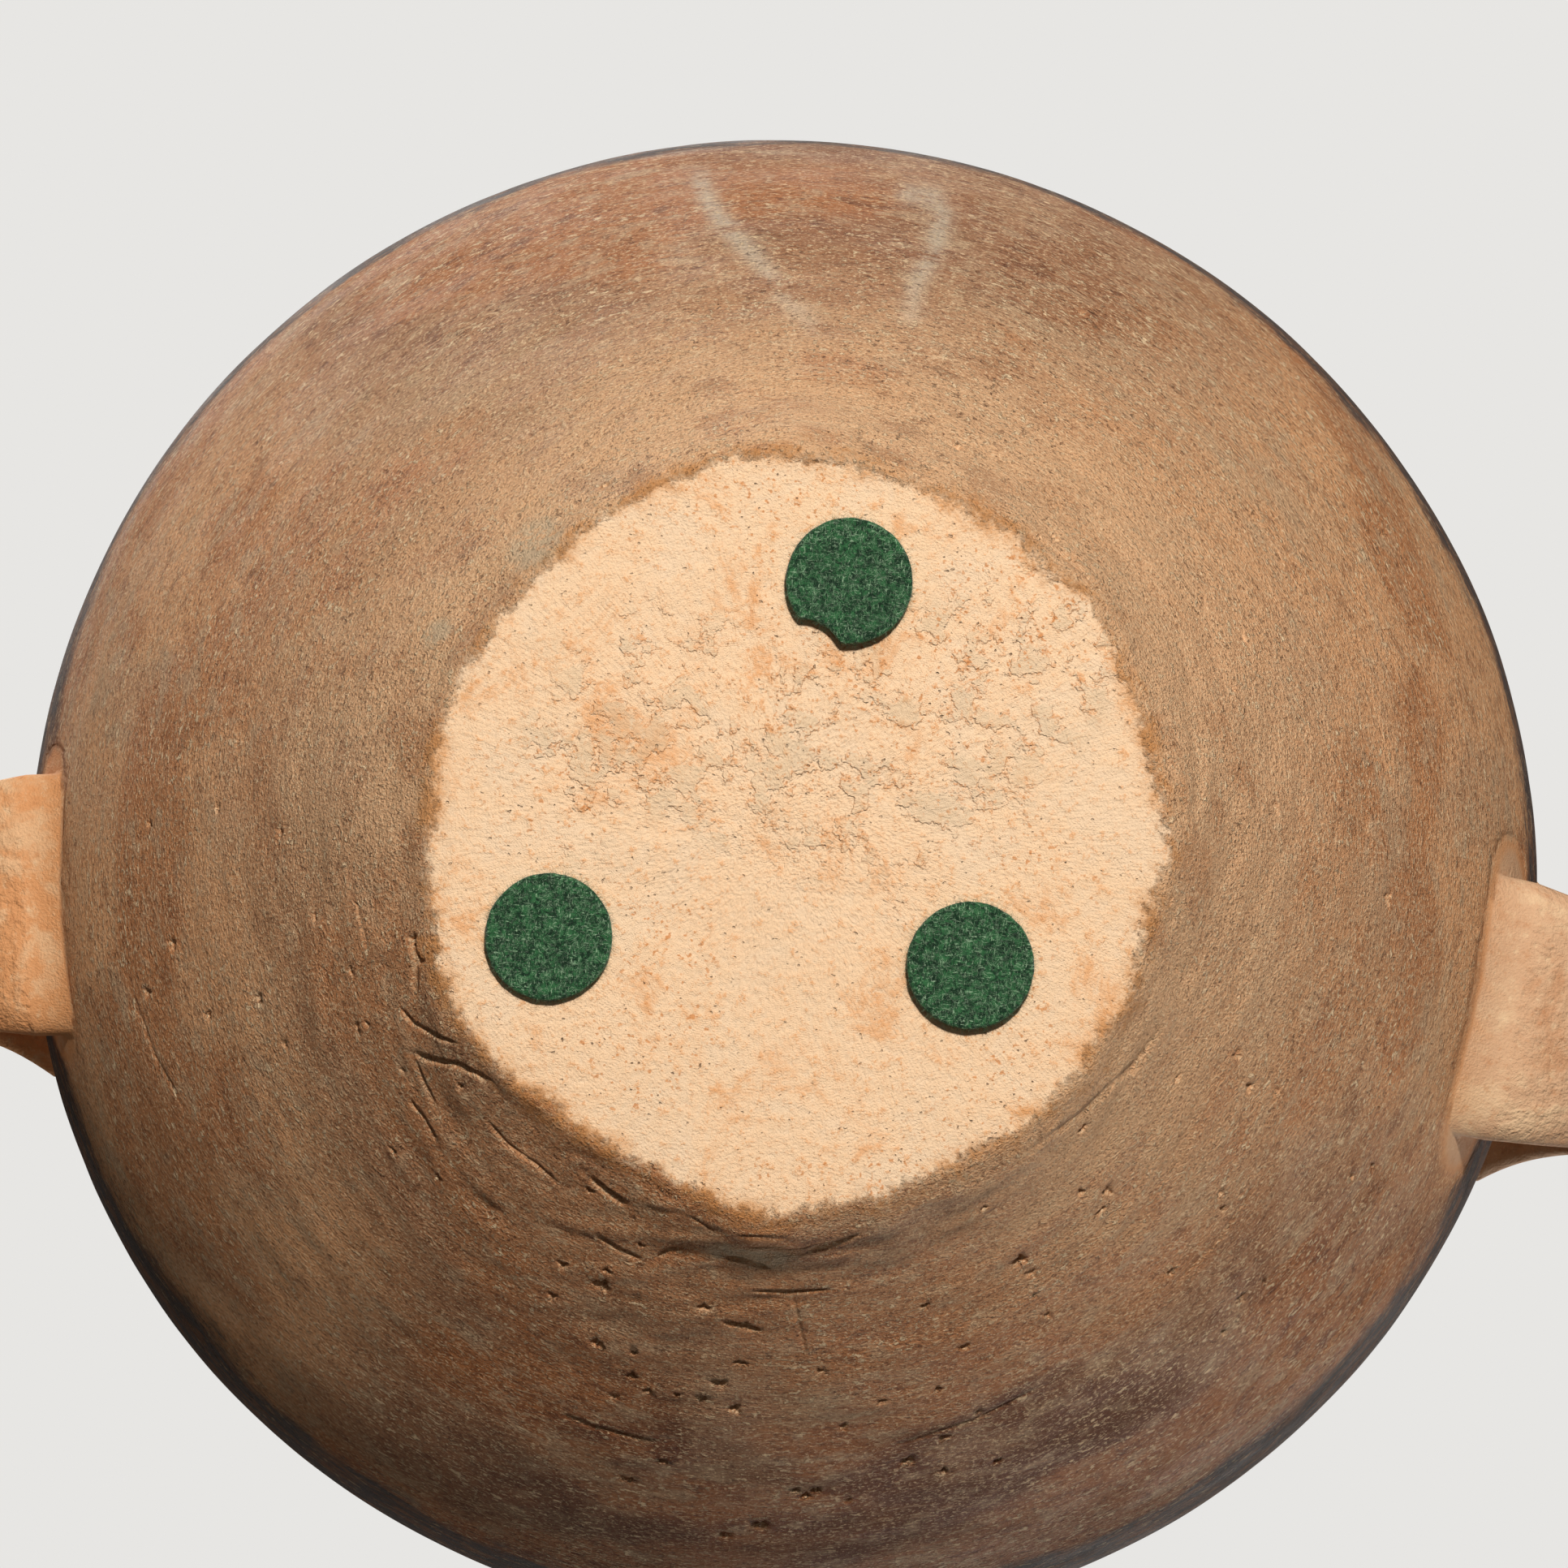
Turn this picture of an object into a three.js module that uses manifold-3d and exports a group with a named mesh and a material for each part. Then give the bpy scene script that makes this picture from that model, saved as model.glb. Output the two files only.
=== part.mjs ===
// A two-handled painted pottery jar standing on three felt pads.
// Millimetres, +Z up. The origin is on the surface that the jar stands on, midway across the whole object.
// -Y is the front, and the handles stand at the left and right, a little behind the middle.

import * as THREE from "three";
import { mergeVertices } from "three/addons/utils/BufferGeometryUtils.js";
import Module from "manifold-3d";

// Felt pads under the base
const padDiameter = 25.4;
const padThickness = 2.5;
const adhesiveGap = 0.3;
const padBiteRadius = 8.5;
const padBiteDepth = 2.4;
const padSides = 60;
const padBevel = 0.4;

// Thrown body: heights are taken from the underside of the clay
const footRadius = 73.6;
const footEdgeRounding = 2.2;
const waistHeight = 6;
const waistFlare = 1.6;
const bellyRadius = 173;
const bellyHeight = 165;
const shoulderTopHeight = 288;
const shoulderTopRadius = 58;
const neckRadius = 54.5;
const neckNarrowHeight = 298;
const lipRadius = 66;
const bodyHeight = 338;
const wallThickness = 7;
const floorThickness = 9;
const depthOverWidth = 0.985;

// Strap handles on the widest part of the body
const handleTurnBack = 7.2;
const leftHandleLowerRoot = 122;
const rightHandleLowerRoot = 114;
const handleUpperRoot = 190;
const handleReach = 35;
const rootShare = 0.4;
const strapWidth = 50;
const strapThickness = 9.5;
const lowerRootWidth = 58;
const upperRootWidth = 76;
const rootThickness = 15;

// How far the curves of the outside pull towards their ends' directions, as shares of their own width or rise
const waistPullOut = 0.41;
const waistPullUp = 0.28;
const bellyPullDown = 0.34;
const bellyPullUp = 0.5;
const shoulderPullOut = 0.47;
const shoulderPullDown = 0.07;
const neckPullUp = 0.4;
const lipPullOut = 0.45;
const lipPullDown = 0.25;
const lipEdgeDrop = 0.8;

// Roundness of the strap's section across its width and through its thickness: 1 is an ellipse
const strapRoundAcross = 0.45;
const strapRoundThrough = 0.8;

// Share of the wall's thickness that a handle's end goes into it
const rootDepth = 0.55;

// Fineness of the faceted surface
const bodySides = 60;
const lowerWallSteps = 10;
const shoulderSteps = 8;
const neckSteps = 4;
const lipSteps = 4;
const handleSteps = 18;
const strapSectionSides = 20;

const clayBottom = padThickness + adhesiveGap;

const clay = new THREE.MeshStandardMaterial({ color: 0xa8825c, roughness: 0.8, metalness: 0 });
const felt = new THREE.MeshStandardMaterial({ color: 0x23512f, roughness: 1, metalness: 0 });

const wasm = await Module();
wasm.setup();

function toSolid(geometry) {
  const bare = geometry.index ? geometry.toNonIndexed() : geometry.clone();
  bare.deleteAttribute("normal");
  bare.deleteAttribute("uv");
  const merged = mergeVertices(bare, 1e-4);
  const corners = merged.index.array;
  const triangles = [];
  for (let i = 0; i < corners.length; i += 3) {
    const [a, b, c] = [corners[i], corners[i + 1], corners[i + 2]];
    if (a !== b && b !== c && c !== a) {
      triangles.push(a, b, c);
    }
  }
  return new wasm.Manifold(new wasm.Mesh({
    numProp: 3,
    vertProperties: new Float32Array(merged.attributes.position.array),
    triVerts: new Uint32Array(triangles),
  }));
}

function toGeometry(solid) {
  const mesh = solid.getMesh();
  const geometry = new THREE.BufferGeometry();
  geometry.setAttribute("position", new THREE.BufferAttribute(new Float32Array(mesh.vertProperties), 3));
  geometry.setIndex(new THREE.BufferAttribute(new Uint32Array(mesh.triVerts), 1));
  geometry.computeVertexNormals();
  return geometry;
}

// A closed body through a list of rings with equal numbers of points, with a fan over each end
function loft(rings) {
  const count = rings[0].length;
  const points = rings.flat();
  const triangles = [];
  for (let k = 0; k + 1 < rings.length; k += 1) {
    for (let i = 0; i < count; i += 1) {
      const a = k * count + i;
      const b = k * count + ((i + 1) % count);
      triangles.push(a, b + count, b, a, a + count, b + count);
    }
  }
  for (const [ring, flipped] of [[0, true], [rings.length - 1, false]]) {
    const middle = new THREE.Vector3();
    rings[ring].forEach((point) => middle.addScaledVector(point, 1 / count));
    const hub = points.push(middle) - 1;
    for (let i = 0; i < count; i += 1) {
      const a = ring * count + i;
      const b = ring * count + ((i + 1) % count);
      triangles.push(...(flipped ? [hub, a, b] : [hub, b, a]));
    }
  }
  const geometry = new THREE.BufferGeometry().setFromPoints(points);
  geometry.setIndex(triangles);
  return geometry;
}

// Body

const at = (radius, height) => new THREE.Vector2(radius, height);

function bezierPoints(steps, ...corners) {
  return new THREE.CubicBezierCurve(...corners).getPoints(steps);
}

// The outside from the foot's edge up to the lip's edge
function outerProfile() {
  const slant = footEdgeRounding * (1 - Math.SQRT1_2);
  const foot = [
    at(footRadius - footEdgeRounding, 0),
    at(footRadius - slant, slant),
    at(footRadius, footEdgeRounding),
  ];
  const waist = at(footRadius + waistFlare, waistHeight);
  const lowerRise = bellyHeight - waistHeight;
  const lowerWall = bezierPoints(
    lowerWallSteps,
    waist,
    at(waist.x + (bellyRadius - waist.x) * waistPullOut, waistHeight + lowerRise * waistPullUp),
    at(bellyRadius, bellyHeight - lowerRise * bellyPullDown),
    at(bellyRadius, bellyHeight),
  );
  const upperRise = shoulderTopHeight - bellyHeight;
  const shoulder = bezierPoints(
    shoulderSteps,
    at(bellyRadius, bellyHeight),
    at(bellyRadius, bellyHeight + upperRise * bellyPullUp),
    at(
      shoulderTopRadius + (bellyRadius - shoulderTopRadius) * shoulderPullOut,
      shoulderTopHeight - upperRise * shoulderPullDown,
    ),
    at(shoulderTopRadius, shoulderTopHeight),
  );
  const neckRise = bodyHeight - neckNarrowHeight;
  const neck = bezierPoints(
    neckSteps,
    at(neckRadius, neckNarrowHeight),
    at(neckRadius, neckNarrowHeight + neckRise * neckPullUp),
    at(neckRadius + (lipRadius - neckRadius) * lipPullOut, bodyHeight - neckRise * lipPullDown),
    at(lipRadius, bodyHeight - wallThickness * lipEdgeDrop),
  );
  return [...foot, ...lowerWall, ...shoulder.slice(1), ...neck];
}

// The inside: the outside moved in by the wall's thickness, from the lip down to the floor
function innerProfile(outer) {
  const inner = outer.map((point, i) => {
    const before = outer[Math.max(i - 1, 0)];
    const after = outer[Math.min(i + 1, outer.length - 1)];
    const along = after.clone().sub(before).normalize();
    return at(point.x - along.y * wallThickness, point.y + along.x * wallThickness);
  });
  const cornerSize = wallThickness / 2;
  const above = inner.filter((point) => point.y > floorThickness + cornerSize).reverse();
  const corner = above[above.length - 1];
  return [...above, at(corner.x - cornerSize, floorThickness), at(0, floorThickness)];
}

const outer = outerProfile();

function outerRadiusAt(height) {
  const k = outer.findIndex((point) => point.y >= height);
  const [low, high] = [outer[k - 1], outer[k]];
  return THREE.MathUtils.mapLinear(height, low.y, high.y, low.x, high.x);
}

function bodySolid() {
  const inner = innerProfile(outer);
  const outerEdge = outer[outer.length - 1];
  const innerEdge = inner[0];
  const lipMiddle = outerEdge.clone().add(innerEdge).multiplyScalar(0.5);
  const lipHalf = outerEdge.clone().sub(lipMiddle);
  const lipRise = new THREE.Vector2(-lipHalf.y, lipHalf.x).setLength(bodyHeight - lipMiddle.y);
  const lip = [];
  for (let i = 1; i < lipSteps; i += 1) {
    const turn = (Math.PI * i) / lipSteps;
    lip.push(lipMiddle.clone().addScaledVector(lipHalf, Math.cos(turn)).addScaledVector(lipRise, Math.sin(turn)));
  }
  const geometry = new THREE.LatheGeometry([at(0, 0), ...outer, ...lip, ...inner], bodySides);
  geometry.rotateX(Math.PI / 2);
  geometry.scale(1, depthOverWidth, 1);
  geometry.translate(0, 0, clayBottom);
  return toSolid(geometry);
}

// Handles

// A flat strap's section with round edges: x is across the strap, y is through it
function strapSection(width, thickness) {
  const points = [];
  for (let i = 0; i < strapSectionSides; i += 1) {
    const turn = (2 * Math.PI * i) / strapSectionSides;
    const [c, s] = [Math.cos(turn), Math.sin(turn)];
    points.push(at(
      (width / 2) * Math.sign(c) * Math.abs(c) ** strapRoundAcross,
      (thickness / 2) * Math.sign(s) * Math.abs(s) ** strapRoundThrough,
    ));
  }
  return points;
}

function handleSolid(azimuth, lowerRoot) {
  const lower = at(outerRadiusAt(lowerRoot), lowerRoot);
  const upper = at(outerRadiusAt(handleUpperRoot), handleUpperRoot);
  const middle = new THREE.CubicBezierCurve(
    lower,
    at(bellyRadius + handleReach, lower.y),
    at(bellyRadius + handleReach, upper.y),
    upper,
  );
  const rings = [];
  for (let k = 0; k <= handleSteps; k += 1) {
    const t = k / handleSteps;
    const place = middle.getPoint(t);
    const along = middle.getTangent(t);
    const toLowerRoot = Math.max(0, 1 - t / rootShare) ** 2;
    const toUpperRoot = Math.max(0, 1 - (1 - t) / rootShare) ** 3;
    const width = strapWidth
      + (lowerRootWidth - strapWidth) * toLowerRoot
      + (upperRootWidth - strapWidth) * toUpperRoot;
    const thickness = strapThickness + (rootThickness - strapThickness) * (toLowerRoot + toUpperRoot);
    const ring = strapSection(width, thickness).map((point) => new THREE.Vector3(
      place.x + along.y * point.y,
      point.x,
      place.y - along.x * point.y,
    ));
    rings.push(ring);
  }
  // Each end is carried into the middle of the wall, and follows it
  const bury = (ring) => ring.map((point) => {
    const radius = outerRadiusAt(point.z) - wallThickness * rootDepth;
    return new THREE.Vector3(Math.sqrt(radius ** 2 - point.y ** 2), point.y, point.z);
  });
  const geometry = loft([bury(rings[0]), ...rings.slice(1, -1), bury(rings[handleSteps])]);
  geometry.rotateZ(THREE.MathUtils.degToRad(azimuth));
  geometry.translate(0, 0, clayBottom);
  return toSolid(geometry);
}

function jarGeometry() {
  const left = handleSolid(180 - handleTurnBack, leftHandleLowerRoot);
  const right = handleSolid(handleTurnBack, rightHandleLowerRoot);
  return toGeometry(bodySolid().add(left).add(right));
}

// Felt pads

// A round pad, with a bite out of its edge at an angle if one is given
function padGeometry(biteAngle) {
  const radius = padDiameter / 2;
  const biteCentre = radius + padBiteRadius - padBiteDepth;
  const outline = [];
  for (let i = 0; i < padSides; i += 1) {
    const turn = (2 * Math.PI * i) / padSides;
    let reach = radius - padBevel;
    if (biteAngle !== undefined) {
      const off = turn - biteAngle;
      const across = biteCentre * Math.sin(off);
      if (Math.cos(off) > 0 && Math.abs(across) < padBiteRadius) {
        reach = Math.min(reach, biteCentre * Math.cos(off) - Math.sqrt(padBiteRadius ** 2 - across ** 2));
      }
    }
    outline.push(at(reach * Math.cos(turn), reach * Math.sin(turn)));
  }
  const geometry = new THREE.ExtrudeGeometry(new THREE.Shape(outline), {
    depth: padThickness - 2 * padBevel,
    bevelThickness: padBevel,
    bevelSize: padBevel,
    bevelSegments: 1,
  });
  return geometry.translate(0, 0, padBevel);
}

// Each pad's direction and distance from the middle of the base
const pads = [
  { name: "felt_pad_1", azimuth: -79.3, distance: 51, biteAngle: 2.03 },
  { name: "felt_pad_2", azimuth: 151, distance: 51 },
  { name: "felt_pad_3", azimuth: 32, distance: 45.8 },
];

const group = new THREE.Group();

const jar = new THREE.Mesh(jarGeometry(), clay);
jar.name = "jar";
group.add(jar);

for (const { name, azimuth, distance, biteAngle } of pads) {
  const pad = new THREE.Mesh(padGeometry(biteAngle), felt);
  const direction = THREE.MathUtils.degToRad(azimuth);
  pad.name = name;
  pad.position.set(distance * Math.cos(direction), distance * Math.sin(direction), 0);
  group.add(pad);
}

export default group;
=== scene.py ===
"""Looks of a two-handled painted pottery jar on three felt pads, seen from below.

Metres, +Z up. -Y is the front. Pixel values are in the photograph's 1932 x 1932 frame.
"""

import math

import bmesh
import bpy
import numpy as np
from mathutils import Matrix, Vector, kdtree


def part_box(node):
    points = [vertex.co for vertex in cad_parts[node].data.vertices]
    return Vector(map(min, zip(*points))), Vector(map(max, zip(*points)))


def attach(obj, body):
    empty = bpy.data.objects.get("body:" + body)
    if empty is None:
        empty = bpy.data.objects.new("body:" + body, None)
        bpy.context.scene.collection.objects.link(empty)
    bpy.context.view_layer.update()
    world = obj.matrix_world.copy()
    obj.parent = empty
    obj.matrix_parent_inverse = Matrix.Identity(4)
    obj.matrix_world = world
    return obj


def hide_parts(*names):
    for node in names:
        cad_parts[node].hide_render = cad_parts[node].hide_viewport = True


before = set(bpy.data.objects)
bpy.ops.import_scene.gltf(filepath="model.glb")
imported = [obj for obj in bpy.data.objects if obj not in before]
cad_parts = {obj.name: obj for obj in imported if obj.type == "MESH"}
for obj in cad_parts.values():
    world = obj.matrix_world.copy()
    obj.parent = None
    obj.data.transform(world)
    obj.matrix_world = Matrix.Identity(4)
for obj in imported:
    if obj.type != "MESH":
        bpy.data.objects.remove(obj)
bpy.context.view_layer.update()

MM = 0.001

# Camera: where it stands, how it turns, and its focal length in pixels of the photograph
PHOTO_SIZE = 1932
CAMERA_PLACE = np.array([5.4, 71.4, -1044.8]) * MM
CAMERA_TILT = math.radians(-4.4)
CAMERA_ROLL = math.radians(4.2)
FOCAL_PIXELS = 6531

# Body, with the frame's sizes; heights are from the clay's underside, which stands this far above the floor
CLAY_BOTTOM = 2.8 * MM
FOOT_RADIUS = 73.6 * MM
FOOT_ROUNDING = 2.6 * MM
WALL_SLOPE = math.radians(48)
BELLY_RADIUS = 173 * MM
BELLY_HEIGHT = 165 * MM
SHOULDER_TOP_HEIGHT = 288 * MM
SHOULDER_TOP_RADIUS = 58 * MM
NECK_RADIUS = 54.5 * MM
NECK_NARROW_HEIGHT = 298 * MM
LIP_RADIUS = 66 * MM
BODY_HEIGHT = 338 * MM
WALL = 7 * MM
FLOOR_THICKNESS = 9 * MM
DEPTH_OVER_WIDTH = 0.985

# Handles, with the frame's sizes; both stand turned back by this many degrees
HANDLE_TURN_BACK = 7.2
LEFT_LOWER_ROOT = 122 * MM
RIGHT_LOWER_ROOT = 114 * MM
UPPER_ROOT = 190 * MM
HANDLE_REACH = 35 * MM
ROOT_SHARE = 0.4
STRAP_WIDTH = 50 * MM
STRAP_THICKNESS = 9.5 * MM
LOWER_ROOT_WIDTH = 58 * MM
UPPER_ROOT_WIDTH = 76 * MM
ROOT_THICKNESS = 15 * MM
HANDLE_STEPS = 44
HANDLE_SIDES = 64

# Pads by node, with the direction of the bite in the one that has it
PADS = {"felt_pad_1": 2.03, "felt_pad_2": None, "felt_pad_3": None}
PAD_RADIUS = 12.7 * MM
PAD_BITE_RADIUS = 8.5 * MM
PAD_BITE_DEPTH = 2.4 * MM
PAD_SIDES = 128
# From the top's middle round the edge to the underside's middle: shares of the radius and of the thickness
PAD_SECTION = [
    (0.0, 1.0), (0.3, 1.0), (0.6, 1.0), (0.85, 1.0), (0.97, 1.0), (0.995, 0.93), (1.0, 0.75),
    (1.0, 0.5), (1.0, 0.28), (0.985, 0.14), (0.96, 0.09),
]
PAD_SECTION += [(share, 0.085) for share in np.linspace(0.93, 0.0, 22)]

# Where the foot's uneven outline begins to show on the base, and the middle of the base's flaked scales
FOOT_PUSH_START = 20 * MM
SCALES_MIDDLE = -4 * MM, -14 * MM

# Distances from a handle's side over which its clay gives way to the wall's
LEFT_SEAM = 6.5 * MM, 11 * MM
RIGHT_SEAM = 7 * MM, 15 * MM

# Loose felt strands on each pad
STRANDS = 2000
STRAND_STEPS = 4
STRAND_FACES = 3 * STRAND_STEPS + 2
STRAND_THICKNESS = 0.05 * MM
STRAND_RISE = 0.05


# Smooth random fields, the same on each run

LATTICE_SIZE = 32
LATTICE = np.random.default_rng(41).random((LATTICE_SIZE, LATTICE_SIZE, LATTICE_SIZE))


def smooth(x, low=0.0, high=1.0):
    t = np.clip((x - low) / (high - low), 0, 1)
    return t * t * (3 - 2 * t)


def noise(points):
    """Value noise from 0 to 1 at an (n, 3) array of points, one lattice step to a unit."""
    whole = np.floor(points).astype(int)
    part = points - whole
    part = part * part * (3 - 2 * part)
    total = np.zeros(len(points))
    for dx in (0, 1):
        for dy in (0, 1):
            for dz in (0, 1):
                corner = (whole + (dx, dy, dz)) % LATTICE_SIZE
                near = np.abs(1 - np.array((dx, dy, dz)) - part)
                weight = near[:, 0] * near[:, 1] * near[:, 2]
                total += weight * LATTICE[corner[:, 0], corner[:, 1], corner[:, 2]]
    return total


def layered(points, octaves=3):
    """Noise with finer and weaker layers on it, still from 0 to 1."""
    total = sum(noise(points * 2 ** k + 7.3 * k) * 0.5 ** k for k in range(octaves))
    return total / sum(0.5 ** k for k in range(octaves))


# Camera geometry: the photograph's pixels and the object's points

def camera_axes():
    """Rows: the camera's right, down and forward directions."""
    c, s = math.cos(CAMERA_ROLL), math.sin(CAMERA_ROLL)
    roll = np.array([[c, -s, 0], [s, c, 0], [0, 0, 1]])
    c, s = math.cos(CAMERA_TILT), math.sin(CAMERA_TILT)
    tilt = np.array([[1, 0, 0], [0, c, -s], [0, s, c]])
    return tilt @ roll


def to_pixels(points):
    local = (points - CAMERA_PLACE) @ camera_axes().T
    return PHOTO_SIZE / 2 + FOCAL_PIXELS * local[:, :2] / local[:, 2:]


# The body's profile

def bezier(p0, p1, p2, p3, count):
    t = np.linspace(0, 1, count)[:, None]
    p0, p1, p2, p3 = (np.array(p) for p in (p0, p1, p2, p3))
    return (1 - t) ** 3 * p0 + 3 * (1 - t) ** 2 * t * p1 + 3 * (1 - t) * t * t * p2 + t ** 3 * p3


def outer_profile():
    """Radius and height from the base's middle to the lip's outer edge, height from the clay's underside."""
    turn = np.linspace(-math.pi / 2, WALL_SLOPE - math.pi / 2, 9)
    foot = np.c_[
        FOOT_RADIUS - FOOT_ROUNDING / 2 + FOOT_ROUNDING * np.cos(turn),
        FOOT_ROUNDING + FOOT_ROUNDING * np.sin(turn),
    ]
    start = foot[-1]
    rise = BELLY_HEIGHT - start[1]
    wall = bezier(
        start,
        (start[0] + (BELLY_RADIUS - start[0]) * 0.41, start[1] + rise * 0.28),
        (BELLY_RADIUS, BELLY_HEIGHT - rise * 0.34),
        (BELLY_RADIUS, BELLY_HEIGHT),
        120,
    )
    rise = SHOULDER_TOP_HEIGHT - BELLY_HEIGHT
    width = BELLY_RADIUS - SHOULDER_TOP_RADIUS
    shoulder = bezier(
        (BELLY_RADIUS, BELLY_HEIGHT),
        (BELLY_RADIUS, BELLY_HEIGHT + rise * 0.5),
        (SHOULDER_TOP_RADIUS + width * 0.47, SHOULDER_TOP_HEIGHT - rise * 0.07),
        (SHOULDER_TOP_RADIUS, SHOULDER_TOP_HEIGHT),
        100,
    )
    rise = BODY_HEIGHT - NECK_NARROW_HEIGHT
    neck = bezier(
        (NECK_RADIUS, NECK_NARROW_HEIGHT),
        (NECK_RADIUS, NECK_NARROW_HEIGHT + rise * 0.4),
        (NECK_RADIUS + (LIP_RADIUS - NECK_RADIUS) * 0.45, BODY_HEIGHT - rise * 0.25),
        (LIP_RADIUS, BODY_HEIGHT - WALL * 0.8),
        40,
    )
    return np.vstack([[(0, 0)], foot, wall[1:], shoulder[1:], neck])


def lengths(path):
    steps = np.hypot(*np.diff(path, axis=0).T)
    return np.r_[0, np.cumsum(steps)]


def at_length(path, s):
    along = lengths(path)
    return np.c_[np.interp(s, along, path[:, 0]), np.interp(s, along, path[:, 1])]


def soften(path, reach):
    """The path with its corners eased beyond the foot's edge: there each point becomes the mean of the path
    within reach of it.
    """
    s = lengths(path)
    fine = np.linspace(0, s[-1], 3000)
    mean = np.zeros((len(fine), 2))
    offsets = np.linspace(-1, 1, 9)
    for offset in offsets:
        mean += at_length(path, np.clip(fine + offset * reach, 0, s[-1])) / len(offsets)
    keep = smooth(fine, FOOT_RADIUS, FOOT_RADIUS + 2 * reach)[:, None]
    return at_length(path, fine) * (1 - keep) + mean * keep


OUTER = soften(outer_profile(), 1.6 * MM)
OUTER_LENGTHS = lengths(OUTER)
BELLY_LENGTH = OUTER_LENGTHS[np.argmax(OUTER[:, 0])]
# The outside from the foot up, for looking up a radius by height
RISING = OUTER[np.argmax(OUTER[:, 1] > 0.5 * MM):]


def radius_at(height):
    return np.interp(height, RISING[:, 1], RISING[:, 0])


def inner_profile():
    """From the lip's inner edge down to the floor's middle."""
    s = np.linspace(OUTER_LENGTHS[-1], FOOT_RADIUS, 50)
    place = at_length(OUTER, s)
    ahead = at_length(OUTER, np.clip(s + 2 * MM, 0, OUTER_LENGTHS[-1]))
    behind = at_length(OUTER, s - 2 * MM)
    along = (ahead - behind) / np.hypot(*(ahead - behind).T)[:, None]
    inner = place + WALL * np.c_[-along[:, 1], along[:, 0]]
    inner = inner[inner[:, 1] > FLOOR_THICKNESS + WALL / 2]
    floor = [(inner[-1, 0] - WALL / 2, FLOOR_THICKNESS), (0, FLOOR_THICKNESS)]
    return np.vstack([inner, floor])


def lip_profile(start, end):
    middle = (start + end) / 2
    half = start - middle
    up = np.array([-half[1], half[0]])
    up *= (BODY_HEIGHT - middle[1]) / np.hypot(*up)
    turn = np.linspace(0, math.pi, 8)[1:-1, None]
    return middle + half * np.cos(turn) + up * np.sin(turn)


# Cuts, in the photograph's pixels: the way from end to end, the width, and the depth in millimetres
CUTS = [
    ([(486, 1236), (510, 1262), (545, 1281), (571, 1290)], 3.0, 0.7),
    ([(498, 1294), (530, 1306), (565, 1313), (612, 1338)], 4.0, 0.9),
    ([(508, 1300), (520, 1330), (540, 1371)], 3.0, 0.5),
    ([(500, 1350), (523, 1380), (540, 1410)], 2.5, 0.5),
    ([(590, 1370), (625, 1410), (662, 1436), (698, 1468)], 2.5, 0.5),
    ([(722, 1448), (745, 1467), (775, 1487)], 4.0, 1.0),
    ([(730, 1520), (762, 1540), (795, 1555)], 3.0, 0.6),
    ([(806, 1553), (822, 1541), (842, 1538)], 3.0, 0.6),
    ([(846, 1497), (866, 1509), (882, 1517)], 2.0, 0.3),
    ([(888, 1549), (915, 1553), (955, 1566)], 3.0, 0.7),
    ([(990, 1541), (1025, 1535), (1065, 1520)], 3.5, 0.7),
    ([(918, 1591), (975, 1592), (1035, 1589)], 2.0, 0.5),
    ([(976, 1592), (984, 1630), (993, 1672)], 3.0, 0.4),
    ([(886, 1628), (915, 1635), (943, 1641)], 3.0, 0.8),
    ([(610, 1625), (650, 1648), (690, 1672)], 2.5, 0.5),
    ([(600, 1675), (630, 1692), (660, 1710)], 2.0, 0.4),
    ([(682, 1738), (730, 1758), (820, 1780)], 2.5, 0.5),
    ([(1290, 788), (1312, 810), (1338, 800), (1385, 796)], 3.0, 0.6),
    ([(1230, 655), (1280, 662), (1330, 700), (1375, 745)], 3.0, 0.5),
    ([(1450, 1240), (1400, 1310), (1330, 1375), (1260, 1425)], 4.0, 0.5),
    ([(430, 1060), (440, 1120), (455, 1180)], 2.5, 0.4),
    ([(500, 1145), (512, 1180), (510, 1240)], 4.0, 0.6),
    ([(160, 1215), (190, 1300), (230, 1370)], 2.0, 0.3),
    ([(1740, 1500), (1690, 1590), (1610, 1690)], 2.5, 0.4),
    ([(1560, 1440), (1500, 1530), (1430, 1600)], 2.5, 0.35),
    ([(1300, 1700), (1200, 1750), (1090, 1785)], 2.5, 0.4),
]

# Pits: place, length, width and depth, each lying along the wall's wiping about this middle
WIPING_MIDDLE = 966, 1080
PITS = [
    (742, 1584, 13, 7, 1.6), (734, 1655, 12, 5, 1.4), (681, 1598, 8, 5, 0.9), (726, 1468, 7, 4, 1.0),
    (888, 1706, 14, 6, 1.0), (864, 1724, 9, 5, 0.8), (906, 1737, 9, 7, 1.3), (613, 1611, 8, 4, 0.8),
    (775, 1824, 9, 4, 0.8), (938, 1880, 17, 6, 1.1), (480, 1542, 12, 8, 1.2), (492, 1560, 8, 5, 0.9),
    (1258, 1552, 13, 6, 1.1), (1272, 1570, 8, 5, 0.8), (1366, 1468, 9, 7, 1.0), (1530, 1600, 8, 5, 0.8),
    (1120, 1800, 13, 6, 0.9), (507, 1158, 12, 6, 1.3), (516, 1184, 10, 6, 1.0), (212, 1163, 11, 5, 0.8),
    (1525, 1300, 9, 6, 0.8), (318, 1230, 10, 5, 0.8), (385, 1480, 9, 5, 0.8), (300, 1480, 8, 4, 0.7),
    (560, 1700, 8, 4, 0.7), (1010, 1690, 8, 4, 0.8), (1190, 1660, 9, 4, 0.8), (1140, 1610, 8, 4, 0.7),
    (970, 785, 4, 4, 0.5), (1328, 800, 9, 6, 0.8), (1268, 704, 12, 8, 0.9), (1300, 664, 10, 6, 0.7),
]

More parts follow.
